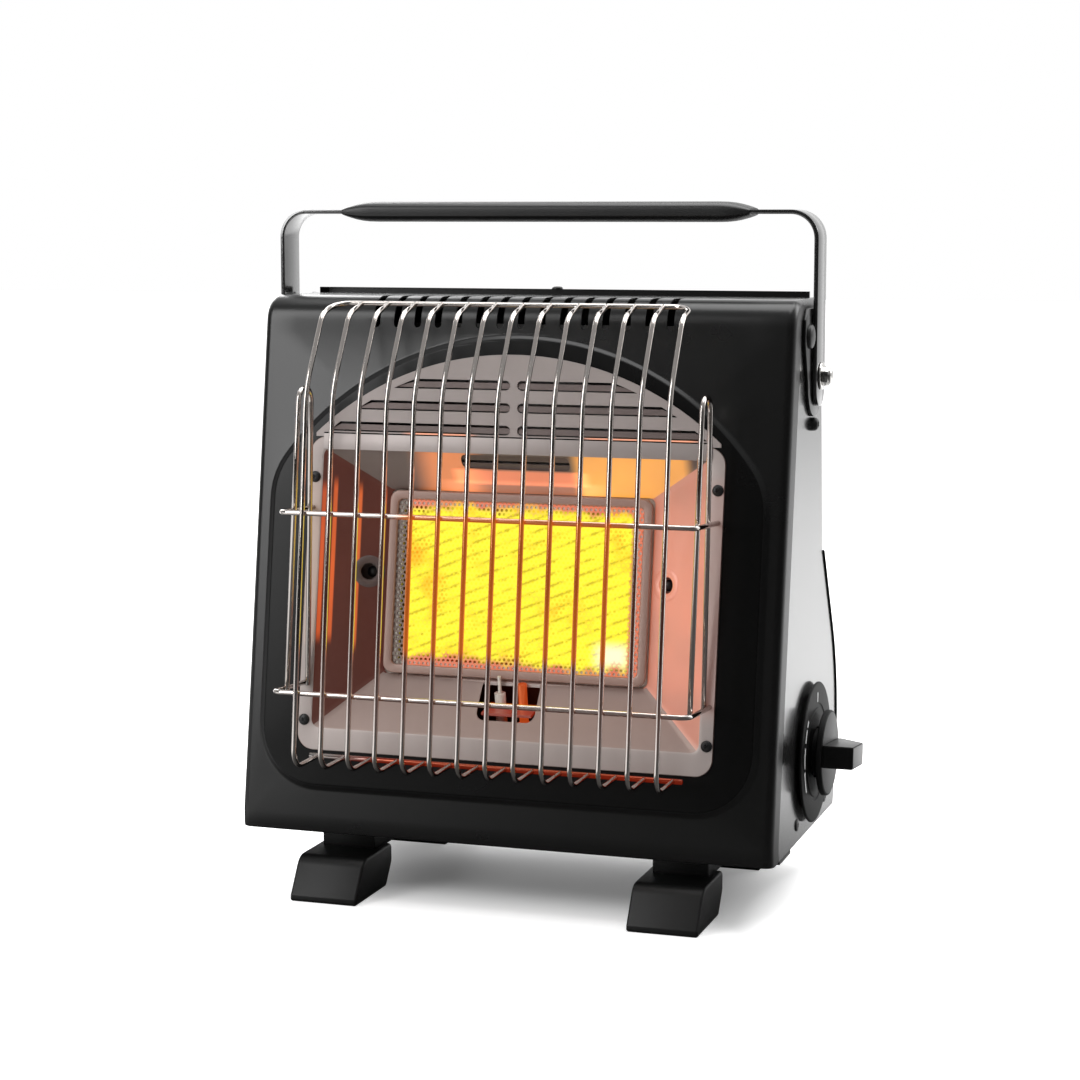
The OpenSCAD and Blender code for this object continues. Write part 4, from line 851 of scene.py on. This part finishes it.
def reflector_pan():
    bm = bmesh.new()
    skin(bm, frame_rows([
        (99.5, 39, 185, 8, -2.05), (99.5, 39, 185, 8, -2.6), (99.2, 39.3, 184.7, 7.7, -2.8),
        (93.8, 48.4, 180.8, 4, -2.8), (92.9, 49.4, 179.9, 4, -2.6), (RIM_X, 50.2, RIM_V, 4, RIM_W),
        (FOOT_X, 75.6, FOOT_V, 3.2, FOOT_W), (64.1, 76, 162, 3, 12.0), (64, 76, 162, 3, 12.8)], 8))
    obj = make("reflector", bm, pan, "bright_steel", "reflector_pan", smooth=30, open_sheet=True)
    thicken(obj, 0.7, 30)
    cut_out(obj, front_cutter(rounded_box(26, 172.5, 178.5, 2.5), -6, 14), 30)
    cut_out(obj, front_cutter(rounded_box(14, 57.5, 76.4, 4), -6, 11.2), 30)
    for side in SIDES:
        cut_out(obj, front_cutter(circle(side * HOLE_X, HOLE_V, HOLE_R, 48), -6, 20), 30)
    rise = front_way(0, 1, 0).normalized()

    # Each wall takes its lit or shaded copy of the steel by the way it faces: painted light and shade
    def pick(face):
        if abs(face.normal.x) > 0.25:
            return pan_left_shade if face.normal.x > 0 else pan_right_lit
        along = face.normal.dot(rise)
        if abs(along) > 0.25:
            return pan_top if along < 0 else pan_low
        return pan

    faces_by(obj, pick)


def slot_flaps():
    """Two flaps bent in behind the upper slot."""
    fall = (FOOT_W - RIM_W) / (RIM_V - FOOT_V)
    bm = bmesh.new()
    for high, low, deep in ((178.9, 175.7, 0.9), (174.7, 172.1, 0.5)):
        top, foot = [(v + 0.635 * deep, RIM_W + (RIM_V - v) * fall + 0.773 * deep) for v in (high, low)]
        outline = [front(x, *top) for x in (-26.6, 26.6)] + [front(x, *foot) for x in (26.6, -26.6)]
        plate(bm, outline, front_way(0, 0.25, 0.31))
    # The flaps take the darker steel: painted shade in the slot
    make("slot_flaps", bm, shaded_flap_steel, "bright_steel")


def wall_collars():
    """The raised lips round the two wall holes."""
    lip = [(3.7, -1.4), (3.75, -0.5), (4.1, 0.1), (5.0, 0.45), (6.2, 0.4), (7.4, 0.1), (7.8, -0.3)]
    w = RIM_W + (RIM_X - HOLE_X) * (FOOT_W - RIM_W) / (RIM_X - FOOT_X)
    # The left collar takes the shaded steel and the right one the lit copy of the pan steel: painted shade
    # and painted burner light
    for side, name, steel in ((-1, "left_collar", shaded_flap_steel), (1, "right_collar", pan_right_lit)):
        bm = bmesh.new()
        lathe(bm, lip, front(side * HOLE_X, HOLE_V, w), front_way(-side * WALL_DEPTH, 0, -WALL_RUN))
        make(name, bm, steel, "bright_steel")


reflector_pan()
slot_flaps()
wall_collars()

# Louvre plate: the arched sheet over the reflector with three rows of pressed-in slots on each side
LOUVRE_HALF, LOUVRE_REACH, SLOT_REACH, LOUVRE_DROP = 97, 143.4, 139.9, -104.0
SLOT_LOW, SLOT_STEP, SLOT_HALF = 4.9, 10.25, 2.25
LOUVRE_TILT = radians(8)
LOUVRE_UP = front_way(0, cos(LOUVRE_TILT), -sin(LOUVRE_TILT))
LOUVRE_BACK = front_way(0, sin(LOUVRE_TILT), cos(LOUVRE_TILT))


def on_louvre(x, h, d):
    return front(x, 185, -2.8) + LOUVRE_UP * h + LOUVRE_BACK * d


def louvre_slots():
    """Each slot's height and outline: round at the inner end, following the arch at the outer end."""
    slots = []
    for row in range(3):
        mid = SLOT_LOW + SLOT_STEP * row
        heights = [mid + SLOT_HALF * k / 3 for k in (-3, -1, 1, 3)]
        tip = [(sqrt(SLOT_REACH ** 2 - (h - LOUVRE_DROP) ** 2), h) for h in heights]
        slot = arc(3.9, mid, SLOT_HALF, 90, 270, 10) + tip
        slots += [(mid, [(side * x, h) for x, h in slot]) for side in SIDES]
    return slots


def louvres():
    corner = degrees(acos(LOUVRE_HALF / LOUVRE_REACH))
    outline = [(-LOUVRE_HALF, 0.0), (LOUVRE_HALF, 0.0)]
    outline += arc(0, LOUVRE_DROP, LOUVRE_REACH, corner, 180 - corner, 64)
    slots = louvre_slots()
    bm = bmesh.new()
    rims = []
    for line in [outline] + [slot for _, slot in slots]:
        rims += chain(bm, [on_louvre(x, h, 0) for x, h in line])[1]
    bmesh.ops.triangle_fill(bm, use_beauty=True, use_dissolve=False, edges=rims,
                            normal=-LOUVRE_BACK.normalized())
    obj = make("louvre_sheet", bm, louvre, "bright_steel", smooth=25, open_sheet=True)
    thicken(obj, 0.6, 25)
    bm = bmesh.new()
    for mid, slot in slots:
        flap = [(x, mid - 0.3 + (h - mid) * 0.58) for x, h in slot]
        plate(bm, [on_louvre(x, h, 0.9 + 0.25 * (h - mid)) for x, h in flap], LOUVRE_BACK * 0.4)
    # The louvre flaps take the darker steel: painted shade inside the slots
    make("louvre_flaps", bm, shaded_flap_steel, "bright_steel", smooth=25)
    bm = bmesh.new()
    # A strip of the dull black along the louvre plate's foot: a painted shadow in the gap to the pan
    seam = ((-93, 1.35), (93, 1.35), (93, 2.0), (-93, 2.0))
    plate(bm, [on_louvre(x, h, -0.12) for x, h in seam], LOUVRE_BACK * 0.1)
    make("louvre_gap_shadow", bm, painted_shade_black, "bright_steel")
    bm = bmesh.new()
    foot = ((-93, 179), (93, 179), (93, 186.4), (-93, 186.4))
    plate(bm, front_line(foot, -3.6), front_way(0, 0, 0.6))
    soften(bm, 0.2)
    make("louvre_foot", bm, louvre, "bright_steel", "louvre_plate")


louvres()

# Burner
SCREEN_PITCH, SCREEN_OPEN = 2.2, 0.62
SCREEN_START = (-60.5, 79.6)


def screen_frame():
    bm = bmesh.new()
    rows = frame_rows([
        (63.5, 76.5, 161.5, 4.5, 11.0), (63.5, 76.5, 161.5, 4.5, 9.9), (63.1, 76.9, 161.1, 4.2, 9.55),
        (62.5, 77.5, 160.5, 3.8, 9.5), (60.4, 79.6, 158.4, 3.0, 9.5), (59.8, 80.2, 157.8, 2.7, 9.7),
        (59.5, 80.5, 157.5, 2.5, 10.2), (59.5, 80.5, 157.5, 2.5, 10.95)], 6)
    skin(bm, rows + rows[:1])
    bmesh.ops.remove_doubles(bm, verts=bm.verts, dist=1e-7)
    make("screen_frame", bm, frame_steel, "bright_steel", "burner_frame")


def screen_sheet():
    """The screen: two neighbouring six-sided openings with their rims, repeated across and up."""
    rise = SCREEN_PITCH * sqrt(3) / 2
    bm = bmesh.new()
    for dx, dv in ((0, 0), (0.5 * SCREEN_PITCH, rise)):
        cx, cv = SCREEN_START[0] + dx, SCREEN_START[1] + dv
        outer = circle(cx, cv, SCREEN_PITCH / sqrt(3), 6, 90)
        inner = circle(cx, cv, SCREEN_PITCH / sqrt(3) * SCREEN_OPEN, 6, 90)
        rings = ((outer, 11.0), (inner, 11.0), (inner, 11.45))
        skin(bm, [front_line(ring, w) for ring, w in rings])
    bmesh.ops.remove_doubles(bm, verts=bm.verts, dist=1e-7)
    obj = make("screen_sheet", bm, screen, "burner_screen", "burner_mesh", smooth=20)
    for name, count, step in (("across", 55, across(SCREEN_PITCH)), ("up", 21, front_way(0, 2 * rise, 0))):
        rep = obj.modifiers.new(name, "ARRAY")
        rep.use_relative_offset, rep.use_constant_offset = False, True
        rep.count, rep.constant_offset_displace = count, step


screen_frame()
screen_sheet()

# Screws. Those of the handle's brackets are below its pivot.
PIVOT_Y, PIVOT_Z = 72.3, 243
REAR_FOOT, REAR_RISE, REAR_LEAN = (100.3, 160), 118, 10.3


def screw_head(bm, centre, axis, r=2.6, h=1.2):
    """A domed head with a cross recess."""
    axis = Vector(axis).normalized()
    u = axis.orthogonal().normalized()
    t = axis.cross(u)

    def at(a, b, d):
        return centre + (u * a + t * b) * (r * MM) + axis * (d * h * MM)

    dome = ((1, 0), (1, 0.35), (0.93, 0.62), (0.8, 0.82), (0.62, 0.96))
    _, rim = skin(bm, [[at(a, b, d) for a, b in circle(0, 0, k, 32)] for k, d in dome])[-1]
    near, far = 0.12, 0.46
    quarter = [(near, near), (near, far), (-near, far)]
    turns = ((1, 0), (0, 1), (-1, 0), (0, -1))
    cross = [(a * c - b * s, a * s + b * c) for c, s in turns for a, b in quarter]
    _, recess = chain(bm, [at(a, b, 1) for a, b in cross])
    bmesh.ops.triangle_fill(bm, use_beauty=True, use_dissolve=False, edges=rim + recess, normal=axis)
    made = bmesh.ops.extrude_edge_only(bm, edges=recess)
    bmesh.ops.translate(bm, vec=-axis * (0.6 * h * MM), verts=new_parts(made, BMVert))
    bmesh.ops.contextual_create(bm, geom=new_parts(made, BMEdge))


def rear_y(z):
    """How far back the rear panel is at a height."""
    return REAR_FOOT[0] - REAR_LEAN * (z - REAR_FOOT[1]) / REAR_RISE


def screws():
    bm = bmesh.new()
    for x in (-96.5, 96.5):
        for v in (52.8, 166):
            screw_head(bm, front(x, v, -2.8), front_way(0, 0, -1))
    make("reflector_screw_heads", bm, black_screw, "screw_black", "reflector_screws")
    bm = bmesh.new()
    for side in SIDES:
        for y in (51, 112):
            screw_head(bm, place(side * HALF, y, 38.6), (side, 0, 0), 2.8, 0.8)
        for z in (172, 262):
            screw_head(bm, place(side * 115.5, rear_y(z), z), (0, REAR_RISE, REAR_LEAN))
    screw_head(bm, place(0, 89.75, 280.6), (0, 0, 1))
    make("casing_screw_heads", bm, black_screw, "zinc", "casing_screws")
    bm = bmesh.new()
    for side in SIDES:
        screw_head(bm, place(side * HALF, PIVOT_Y, 220.98), (side, 0, 0), 3.1, 3.2)
    make("bracket_screw_heads", bm, black_screw, "screw_black", "bracket_screws")


screws()

# Handle
STRAP_X, STRAP_TOP, STRAP_BEND = 130.35, 317.0, 12.0
STRAP_HALF, STRAP_HALF_THICK = 8.8, 1.0
GRIP_HALF, GRIP_POINTS = 99.5, 40
WASHER_X, NUT_X = 131.7, 132.5


def strap():
    """A flat strip bent over, with a round end at each foot."""
    foot_z = PIVOT_Z - 5 - STRAP_HALF
    turns = [radians(a) for a in (3, 10, 20, 30, 42, 55, 70, 90)]
    right = [(STRAP_X, foot_z + STRAP_HALF - STRAP_HALF * cos(a)) for a in turns]
    right += [(STRAP_X, z) for z in (250, 262, 280, 295)]
    right += arc(STRAP_X - STRAP_BEND, STRAP_TOP - STRAP_BEND, STRAP_BEND, 0, 90, 14)
    right += [(x, STRAP_TOP) for x in (112, 90, 60, 30, 0)]
    path = right + [(-x, z) for x, z in reversed(right[:-1])]
    rows = []
    for i, (x, z) in enumerate(path):
        (ax, az), (bx, bz) = path[max(i - 1, 0)], path[min(i + 1, len(path) - 1)]
        ahead = Vector((bx - ax, bz - az)).normalized()
        nx, nz = ahead.y * STRAP_HALF_THICK, -ahead.x * STRAP_HALF_THICK
        short = max(STRAP_HALF - (z - foot_z), 0)
        half = sqrt(STRAP_HALF ** 2 - short ** 2)
        corners = ((1, -half), (1, half), (-1, half), (-1, -half))
        rows.append([place(x + s * nx, PIVOT_Y + y, z + s * nz) for s, y in corners])
    bm = bmesh.new()
    block(bm, rows)
    soften(bm, 0.4, 2, 40)
    make("strap", bm, strap_gloss, "casing_black", "handle_strap", body="handle", smooth=40)


def grip():
    """A flattened bar that thins at its ends, with a fine parting groove front and back."""
    ends = [(0, 0.0), (0.6, 0.1), (2, 0.27), (4, 0.48), (6.5, 0.7), (9.5, 0.88), (12.5, 0.97), (16, 1.0)]
    stations = [(d - GRIP_HALF, k) for d, k in ends] + [(GRIP_HALF - d, k) for d, k in reversed(ends)]
    rows = []
    for x, k in stations:
        half_w, half_h = 9.3 + 1.2 * k, 1.7 + 3.0 * k
        row = []
        for i, (c, s) in enumerate(circle(0, 0, 1, GRIP_POINTS)):
            groove = 0.985 if i in (0, GRIP_POINTS // 2) else 1.0
            y = groove * half_w * copysign(abs(c) ** 0.62, c)
            z = half_h * copysign(abs(s) ** 0.72, s)
            row.append(place(x, PIVOT_Y + y, STRAP_TOP + z))
        rows.append(row)
    bm = bmesh.new()
    block(bm, rows)
    obj = make("grip", bm, grip_plastic, "grip_black", "handle_grip", body="handle", smooth=50)
    # Faces turned down take the darker, duller knob plastic: painted shade under the grip
    faces_by(obj, lambda face: knob_plastic if face.normal.z < -0.5 else grip_plastic)


def pivots():
    """Washers, domed nuts with the bolts' ends, stop studs and brackets."""
    bm = bmesh.new()
    washer = [(3.0, 0), (6.25, 0), (6.35, 0.2), (6.25, 0.7), (6.05, 0.8), (3.0, 0.8)]
    lathe_pair(bm, washer, WASHER_X, PIVOT_Y, PIVOT_Z)
    make("pivot_washers", bm, chrome, "chrome", "handle_washers")
    bm = bmesh.new()
    hexagon = circle(PIVOT_Y, PIVOT_Z, 4.6, 6, 30)
    for side in SIDES:
        plate(bm, side_line(side * NUT_X, hexagon), across(side * 3.0))
    soften(bm, 0.35)
    dome = [(3.9, 2.6), (3.8, 3.2), (3.3, 3.8), (2.3, 4.3), (1.0, 4.5), (0.0, 4.5)]
    lathe_pair(bm, dome, NUT_X, PIVOT_Y, PIVOT_Z)
    make("pivot_nuts", bm, chrome, "chrome", "handle_pivot_nuts")
    bm = bmesh.new()
    stud = [(5.5, 0), (5.5, 0.9), (5.2, 1.4), (4.5, 1.8), (3.0, 2.2), (1.4, 2.35), (0.0, 2.35)]
    lathe_pair(bm, stud, 129, 57.65, 261.5)
    make("stop_studs", bm, black_screw, "zinc", "handle_stop_studs")
    bm = bmesh.new()
    outline = arc(PIVOT_Y, 240, 15.5, 180, 360, 40)
    outline += [(82.8, 274), (55.15, 274), (50.15, 269), (50.15, 258.5)]
    for side in SIDES:
        plate(bm, side_line(side * HALF, outline), across(side * 1.5))
    soften(bm, 0.35, 2, 40)
    make("handle_brackets", bm, coat, "casing_black", "left_handle_bracket", "right_handle_bracket")


strap()
grip()
pivots()

# Control
KNOB_Y, KNOB_Z = 79.3, 67.2
BAR_X, BAR_HALF = 136.8, 5.25
MARK_X, MARK_THICK = 130.45, 0.15


def knob_lathe(bm, profile, x, steps):
    lathe(bm, profile, place(x, KNOB_Y, KNOB_Z), (1, 0, 0), steps)


def dial_mark(bm, r0, r1, start, end, n=10):
    """A stroke on the dial between two radii and two turns."""
    inner, outer = [arc(KNOB_Y, KNOB_Z, r, start, end, n) for r in (r0, r1)]
    plate(bm, side_line(MARK_X, outer + inner[::-1]), across(MARK_THICK))


def control():
    bm = bmesh.new()
    dial = [(12, 0), (25.8, 0), (25.8, 1.8), (32.5, 1.8), (32.8, 2.1), (32.8, 2.6), (32.5, 2.9), (32.0, 3.0),
            (23.0, 3.0), (22.6, 2.6), (21.0, 2.6), (20.6, 3.0), (12, 3.0), (12, 0)]
    knob_lathe(bm, dial, HALF, 96)
    make("dial", bm, knob_plastic, "knob_black", "dial_plate")
    bm = bmesh.new()
    for start, end in ((136, 143), (146, 160), (165, 186), (190, 214)):
        dial_mark(bm, 25.4, 26.6, start, end)
    dial_mark(bm, 23.5, 28.0, 86.5, 89.5, 2)
    make("dial_marks", bm, mark_paint, "knob_black")
    bm = bmesh.new()
    knob_lathe(bm, [(0, 0), (19.4, 0), (20, 0.5), (20, 2.2), (19.7, 2.7), (19.0, 3.0), (0, 3.0)], 134, 96)
    knob_lathe(bm, [(0, 0), (11, 0), (11, 4.2), (0, 4.2)], 130.3, 64)
    obj = make("knob_disc", bm, knob_plastic, "knob_black", body="knob")
    # The disc's outer face takes the lighter copy: painted light
    faces_by(obj, lambda face: lit_disc_plastic if face.normal.x > 0.95 else knob_plastic)
    bm = bmesh.new()
    side = [(BAR_X, -19.4), (151.5, -19.4), (151.5, 5), (139.0, 18.5), (BAR_X, 18.5)]
    plate(bm, [place(x, KNOB_Y + y, KNOB_Z - BAR_HALF) for x, y in side], Vector((0, 0, 2 * BAR_HALF * MM)))
    turn = Matrix.Rotation(radians(-6), 3, "X")
    bmesh.ops.rotate(bm, cent=place(BAR_X, KNOB_Y, KNOB_Z), matrix=turn, verts=bm.verts)
    soften(bm, 0.9, 3)
    obj = make("knob_bar", bm, knob_plastic, "knob_black", "control_knob", body="knob")
    # The bar's end and top take the lighter copy: painted light
    faces_by(obj, lambda face: lit_bar_plastic if max(face.normal.x, face.normal.z) > 0.9 else knob_plastic)


control()

# Feet
FOOT_MIDDLE, FOOT_HALF, FOOT_LENGTH, BAR_INSET = 81, 16.5, 134.6, 13.2


def feet():
    """Each foot: a bar under the base with a toe at the front and the same toe turned round at the back."""
    toe = rounded([(10, 0), (-12, 0), (-11.6, 3), (-1, 19.5), (34, 19.5), (34, 10.5), (26.5, 0), (10, 0)],
                  [0, 1.2, 1.2, 8, 2.5, 4, 2, 0], 6)[:-1]
    for name, x in (("left", -FOOT_MIDDLE), ("right", FOOT_MIDDLE)):
        bm = bmesh.new()
        slab(bm, (x - BAR_INSET, x + BAR_INSET), (20, 116), (18, 30))
        soften(bm, 0.8)
        for line in (toe, [(FOOT_LENGTH - y, z) for y, z in toe]):
            plate(bm, side_line(x - FOOT_HALF, line), across(2 * FOOT_HALF))
        soften(bm, 2.2, 4, 50)
        make(name + "_foot_body", bm, foot_plastic, "foot_black", name + "_foot")


feet()

# Door
DOOR_BACK, DOOR_BEND, DOOR_SHEET = 137.6, 100.0, 1.6
DOOR_HEAD, DOOR_HEAD_Y, DOOR_HEAD_Z = 30, 101.9, 158.7
HINGE_X, HINGE_LENGTH = 85.7, 14


def door_line(inset):
    """The door's profile (y, z) from its foot to its head, set in from the outside."""
    back, lean = DOOR_BACK - inset, radians(DOOR_HEAD)
    foot = [(back, z) for z in (35.5, 46, 58)]
    bend = arc(DOOR_BACK - DOOR_BEND, 70.1, DOOR_BEND - inset, 0, DOOR_HEAD, 24)
    return foot + bend + [(DOOR_HEAD_Y - inset * cos(lean), DOOR_HEAD_Z - inset * sin(lean))]


def door_leaf():
    bm = bmesh.new()
    ring = door_line(0) + door_line(DOOR_SHEET)[::-1]
    block(bm, [side_line(x, ring) for x in (-HALF, -60, 0, 60, HALF)])
    obj = make("door_leaf", bm, gloss, "casing_black", "cartridge_door", body="door")
    bm = bmesh.new()
    plate(bm, [place(x, 70, z) for x, z in circle(0, 161.7, 14, 48)], Vector((0, 60 * MM, 0)))
    cut_out(obj, bm)
    for side in SIDES:
        bm = bmesh.new()
        slab(bm, sorted((side * 125.9, side * 130)), (130, 150), (33, 46))
        cut_out(obj, bm)
    # The door's faces turned sideways take the dull black: painted shade
    faces_by(obj, lambda face: painted_shade_black if abs(face.normal.x) > 0.9 else gloss)
    round_off = obj.modifiers.new("edges", "BEVEL")
    round_off.width, round_off.segments, round_off.limit_method = 0.4 * MM, 2, "ANGLE"


def door_knuckles():
    bm = bmesh.new()
    sleeve_line = [(1.56, 0), (3.6, 0), (4, 0.4), (4, 13.6), (3.6, 14), (1.56, 14), (1.56, 0)]
    for side in SIDES:
        lathe(bm, sleeve_line, place(side * HINGE_X, 130, 39), (side, 0, 0), 32)
        x_span = sorted((side * HINGE_X, side * (HINGE_X + HINGE_LENGTH)))
        slab(bm, x_span, (131.6, 136.6), (37.4, 40.6))
    make("door_knuckles", bm, coat, "casing_black", body="door")


def door_shadow_beads():
    bm = bmesh.new()
    for side in SIDES:
        # Dull black beads along the door's edges: a painted shadow line where the door meets the side panels
        tube(bm, side_line(side * HALF, door_line(-0.2)[1:]), 0.75)
    make("door_shadow_beads", bm, painted_shade_black, "casing_black", body="door", smooth=50)


door_leaf()
door_knuckles()
door_shadow_beads()

# Pieces carried over as built
KEPT = {
    gloss: ["left_side_panel", "right_side_panel"],
    coat: ["rear_panel", "base_plate"],
    zinc: ["foot_screws", "door_hinge_pin", "door_catch", "cartridge_cradle", "mixing_tube",
           "injector_bracket", "knob_shaft"],
    # The burner box and pilot bracket take the zinc with painted shade and glow
    shaded_zinc_painted_glow: ["burner_box", "pilot_bracket"],
    black_screw: ["dial_screws", "burner_screws"],
    chrome: ["handle_pivot_bolts"],
    shield_steel: ["heat_shield"],
    plaque: ["ceramic_plaque"],
    ceramic: ["electrode"],
    fibre: ["plaque_gasket"],
    brass: ["injector", "push_collar"],
    alloy: ["regulator_valve", "gas_tube"],
    magnet: ["magnet_ring"],
    piezo: ["piezo_igniter"],
    sleeve: ["ignition_lead"],
    copper: ["thermocouple"],
}
for material, names in KEPT.items():
    for name in names:
        nodes[name].data.materials.clear()
        nodes[name].data.materials.append(material)

# Studio
CAMERA_SPOT = (364.204, -1046.985, 316.282)
CAMERA_PITCH, CAMERA_TURN = 0.130, 0.317
FOCAL_PIXELS, PHOTO_PIXELS, SENSOR = 2498.736, 1080, 36.0
FLOOR_HALF, SHADOW_OVAL, SHADOW_WHITE = 8.0, (6.8, 9.0, 0), 0.08
scene = bpy.context.scene
scene.view_settings.view_transform = "Standard"


def stand_camera():
    camera = bpy.data.objects.new("camera", bpy.data.cameras.new("camera"))
    scene.collection.objects.link(camera)
    camera.location = place(*CAMERA_SPOT)
    camera.rotation_euler = (pi / 2 - CAMERA_PITCH, 0, CAMERA_TURN)
    camera.data.sensor_width = SENSOR
    camera.data.lens = SENSOR * FOCAL_PIXELS / PHOTO_PIXELS
    camera.data.clip_start, camera.data.clip_end = 0.01, 50
    scene.camera = camera


def softbox(name, spot, aim, size, power):
    light = bpy.data.lights.new(name, "AREA")
    light.shape, light.size, light.size_y = "RECTANGLE", size[0], size[1]
    light.energy = power
    obj = bpy.data.objects.new(name, light)
    obj.location = spot
    obj.rotation_euler = (Vector(aim) - Vector(spot)).to_track_quat("-Z", "Y").to_euler()
    scene.collection.objects.link(obj)


def light_room():
    """White to the camera; to everything else grey, brighter to the rear and above."""
    room = bpy.data.worlds.new("studio")
    scene.world = room
    room.use_nodes = True
    tree = room.node_tree
    walls = tree.nodes["Background"]
    walls.inputs["Color"].default_value = WHITE
    way = add(tree, "SeparateXYZ", [(0, add(tree, "TexCoord").outputs["Generated"])])
    rear = plus(way.outputs[1], 0.75, 0.2, clamp=True)
    grey = plus(way.outputs[2], 0.4, rear, clamp=True)
    to_camera = add(tree, "LightPath").outputs["Is Camera Ray"]
    send(number("MAXIMUM", to_camera, grey), walls, "Strength")


def floor_white():
    """White to the camera but for the shadow under the casing. To shiny pieces it is dark ahead, lit behind
    and has a bright card at the left front."""
    material = look("floor_white", 0.8, 0.82, rough=0.6, spread=0.1, bump=0.0, scale=40)
    tree = material.node_tree
    main = tree.nodes["Principled BSDF"]
    spot = add(tree, "TexCoord").outputs["Object"]
    parts = add(tree, "SeparateXYZ", [(0, spot)])
    x, y = parts.outputs[0], parts.outputs[1]
    rays = add(tree, "LightPath")
    to_camera, to_shiny = rays.outputs["Is Camera Ray"], rays.outputs["Is Glossy Ray"]
    oval = vectors(tree, "MULTIPLY", spot, SHADOW_OVAL)
    away = ramp(add(tree, "VectorMath", [(0, oval)], operation="LENGTH").outputs["Value"], 0.3, 1.7)
    aside = times(ramp(number("ABSOLUTE", x), 0.085, 0.125), 0.75)
    before = times(ramp(y, -0.005, -0.1), 0.8)
    white = number("MAXIMUM", away, number("MAXIMUM", aside, before))
    behind = times(ramp(y, 0.1, 0.65), 0.4)
    card_depth = times(ramp(y, 0.0, -0.15), ramp(y, -2.2, -1.6))
    card = times(ramp(x, -0.12, -0.3), card_depth, 0.9)
    mirrored = times(to_shiny, number("MAXIMUM", behind, card))
    main.inputs["Emission Color"].default_value = WHITE
    send(plus(to_camera, number("ADD", white, SHADOW_WHITE), mirrored), main, "Emission Strength")
    repaint(material, times(to_shiny, ramp(y, 0.3, 0.0)), color(0.05))
    return material


def lay_floor():
    bm = bmesh.new()
    bmesh.ops.create_grid(bm, x_segments=1, y_segments=1, size=FLOOR_HALF)
    mesh = bpy.data.meshes.new("floor")
    bm.to_mesh(mesh)
    bm.free()
    mesh.materials.append(floor_white())
    floor = bpy.data.objects.new("floor", mesh)
    scene.collection.objects.link(floor)


stand_camera()
softbox("key", (-1.24, -1.62, 1.15), (0, 0, 0.2), (0.8, 1.8), 24)
softbox("top", (0.1, 0.35, 1.7), (0, 0, 0.1), (1.4, 1.4), 22)
softbox("rim", (1.5, 1.3, 1.3), (0.1, 0.0, 0.1), (1.2, 1.2), 14)
softbox("fill", (-1.3, 1.6, 1.1), (0, 0, 0.15), (1.0, 1.0), 14)
light_room()
lay_floor()
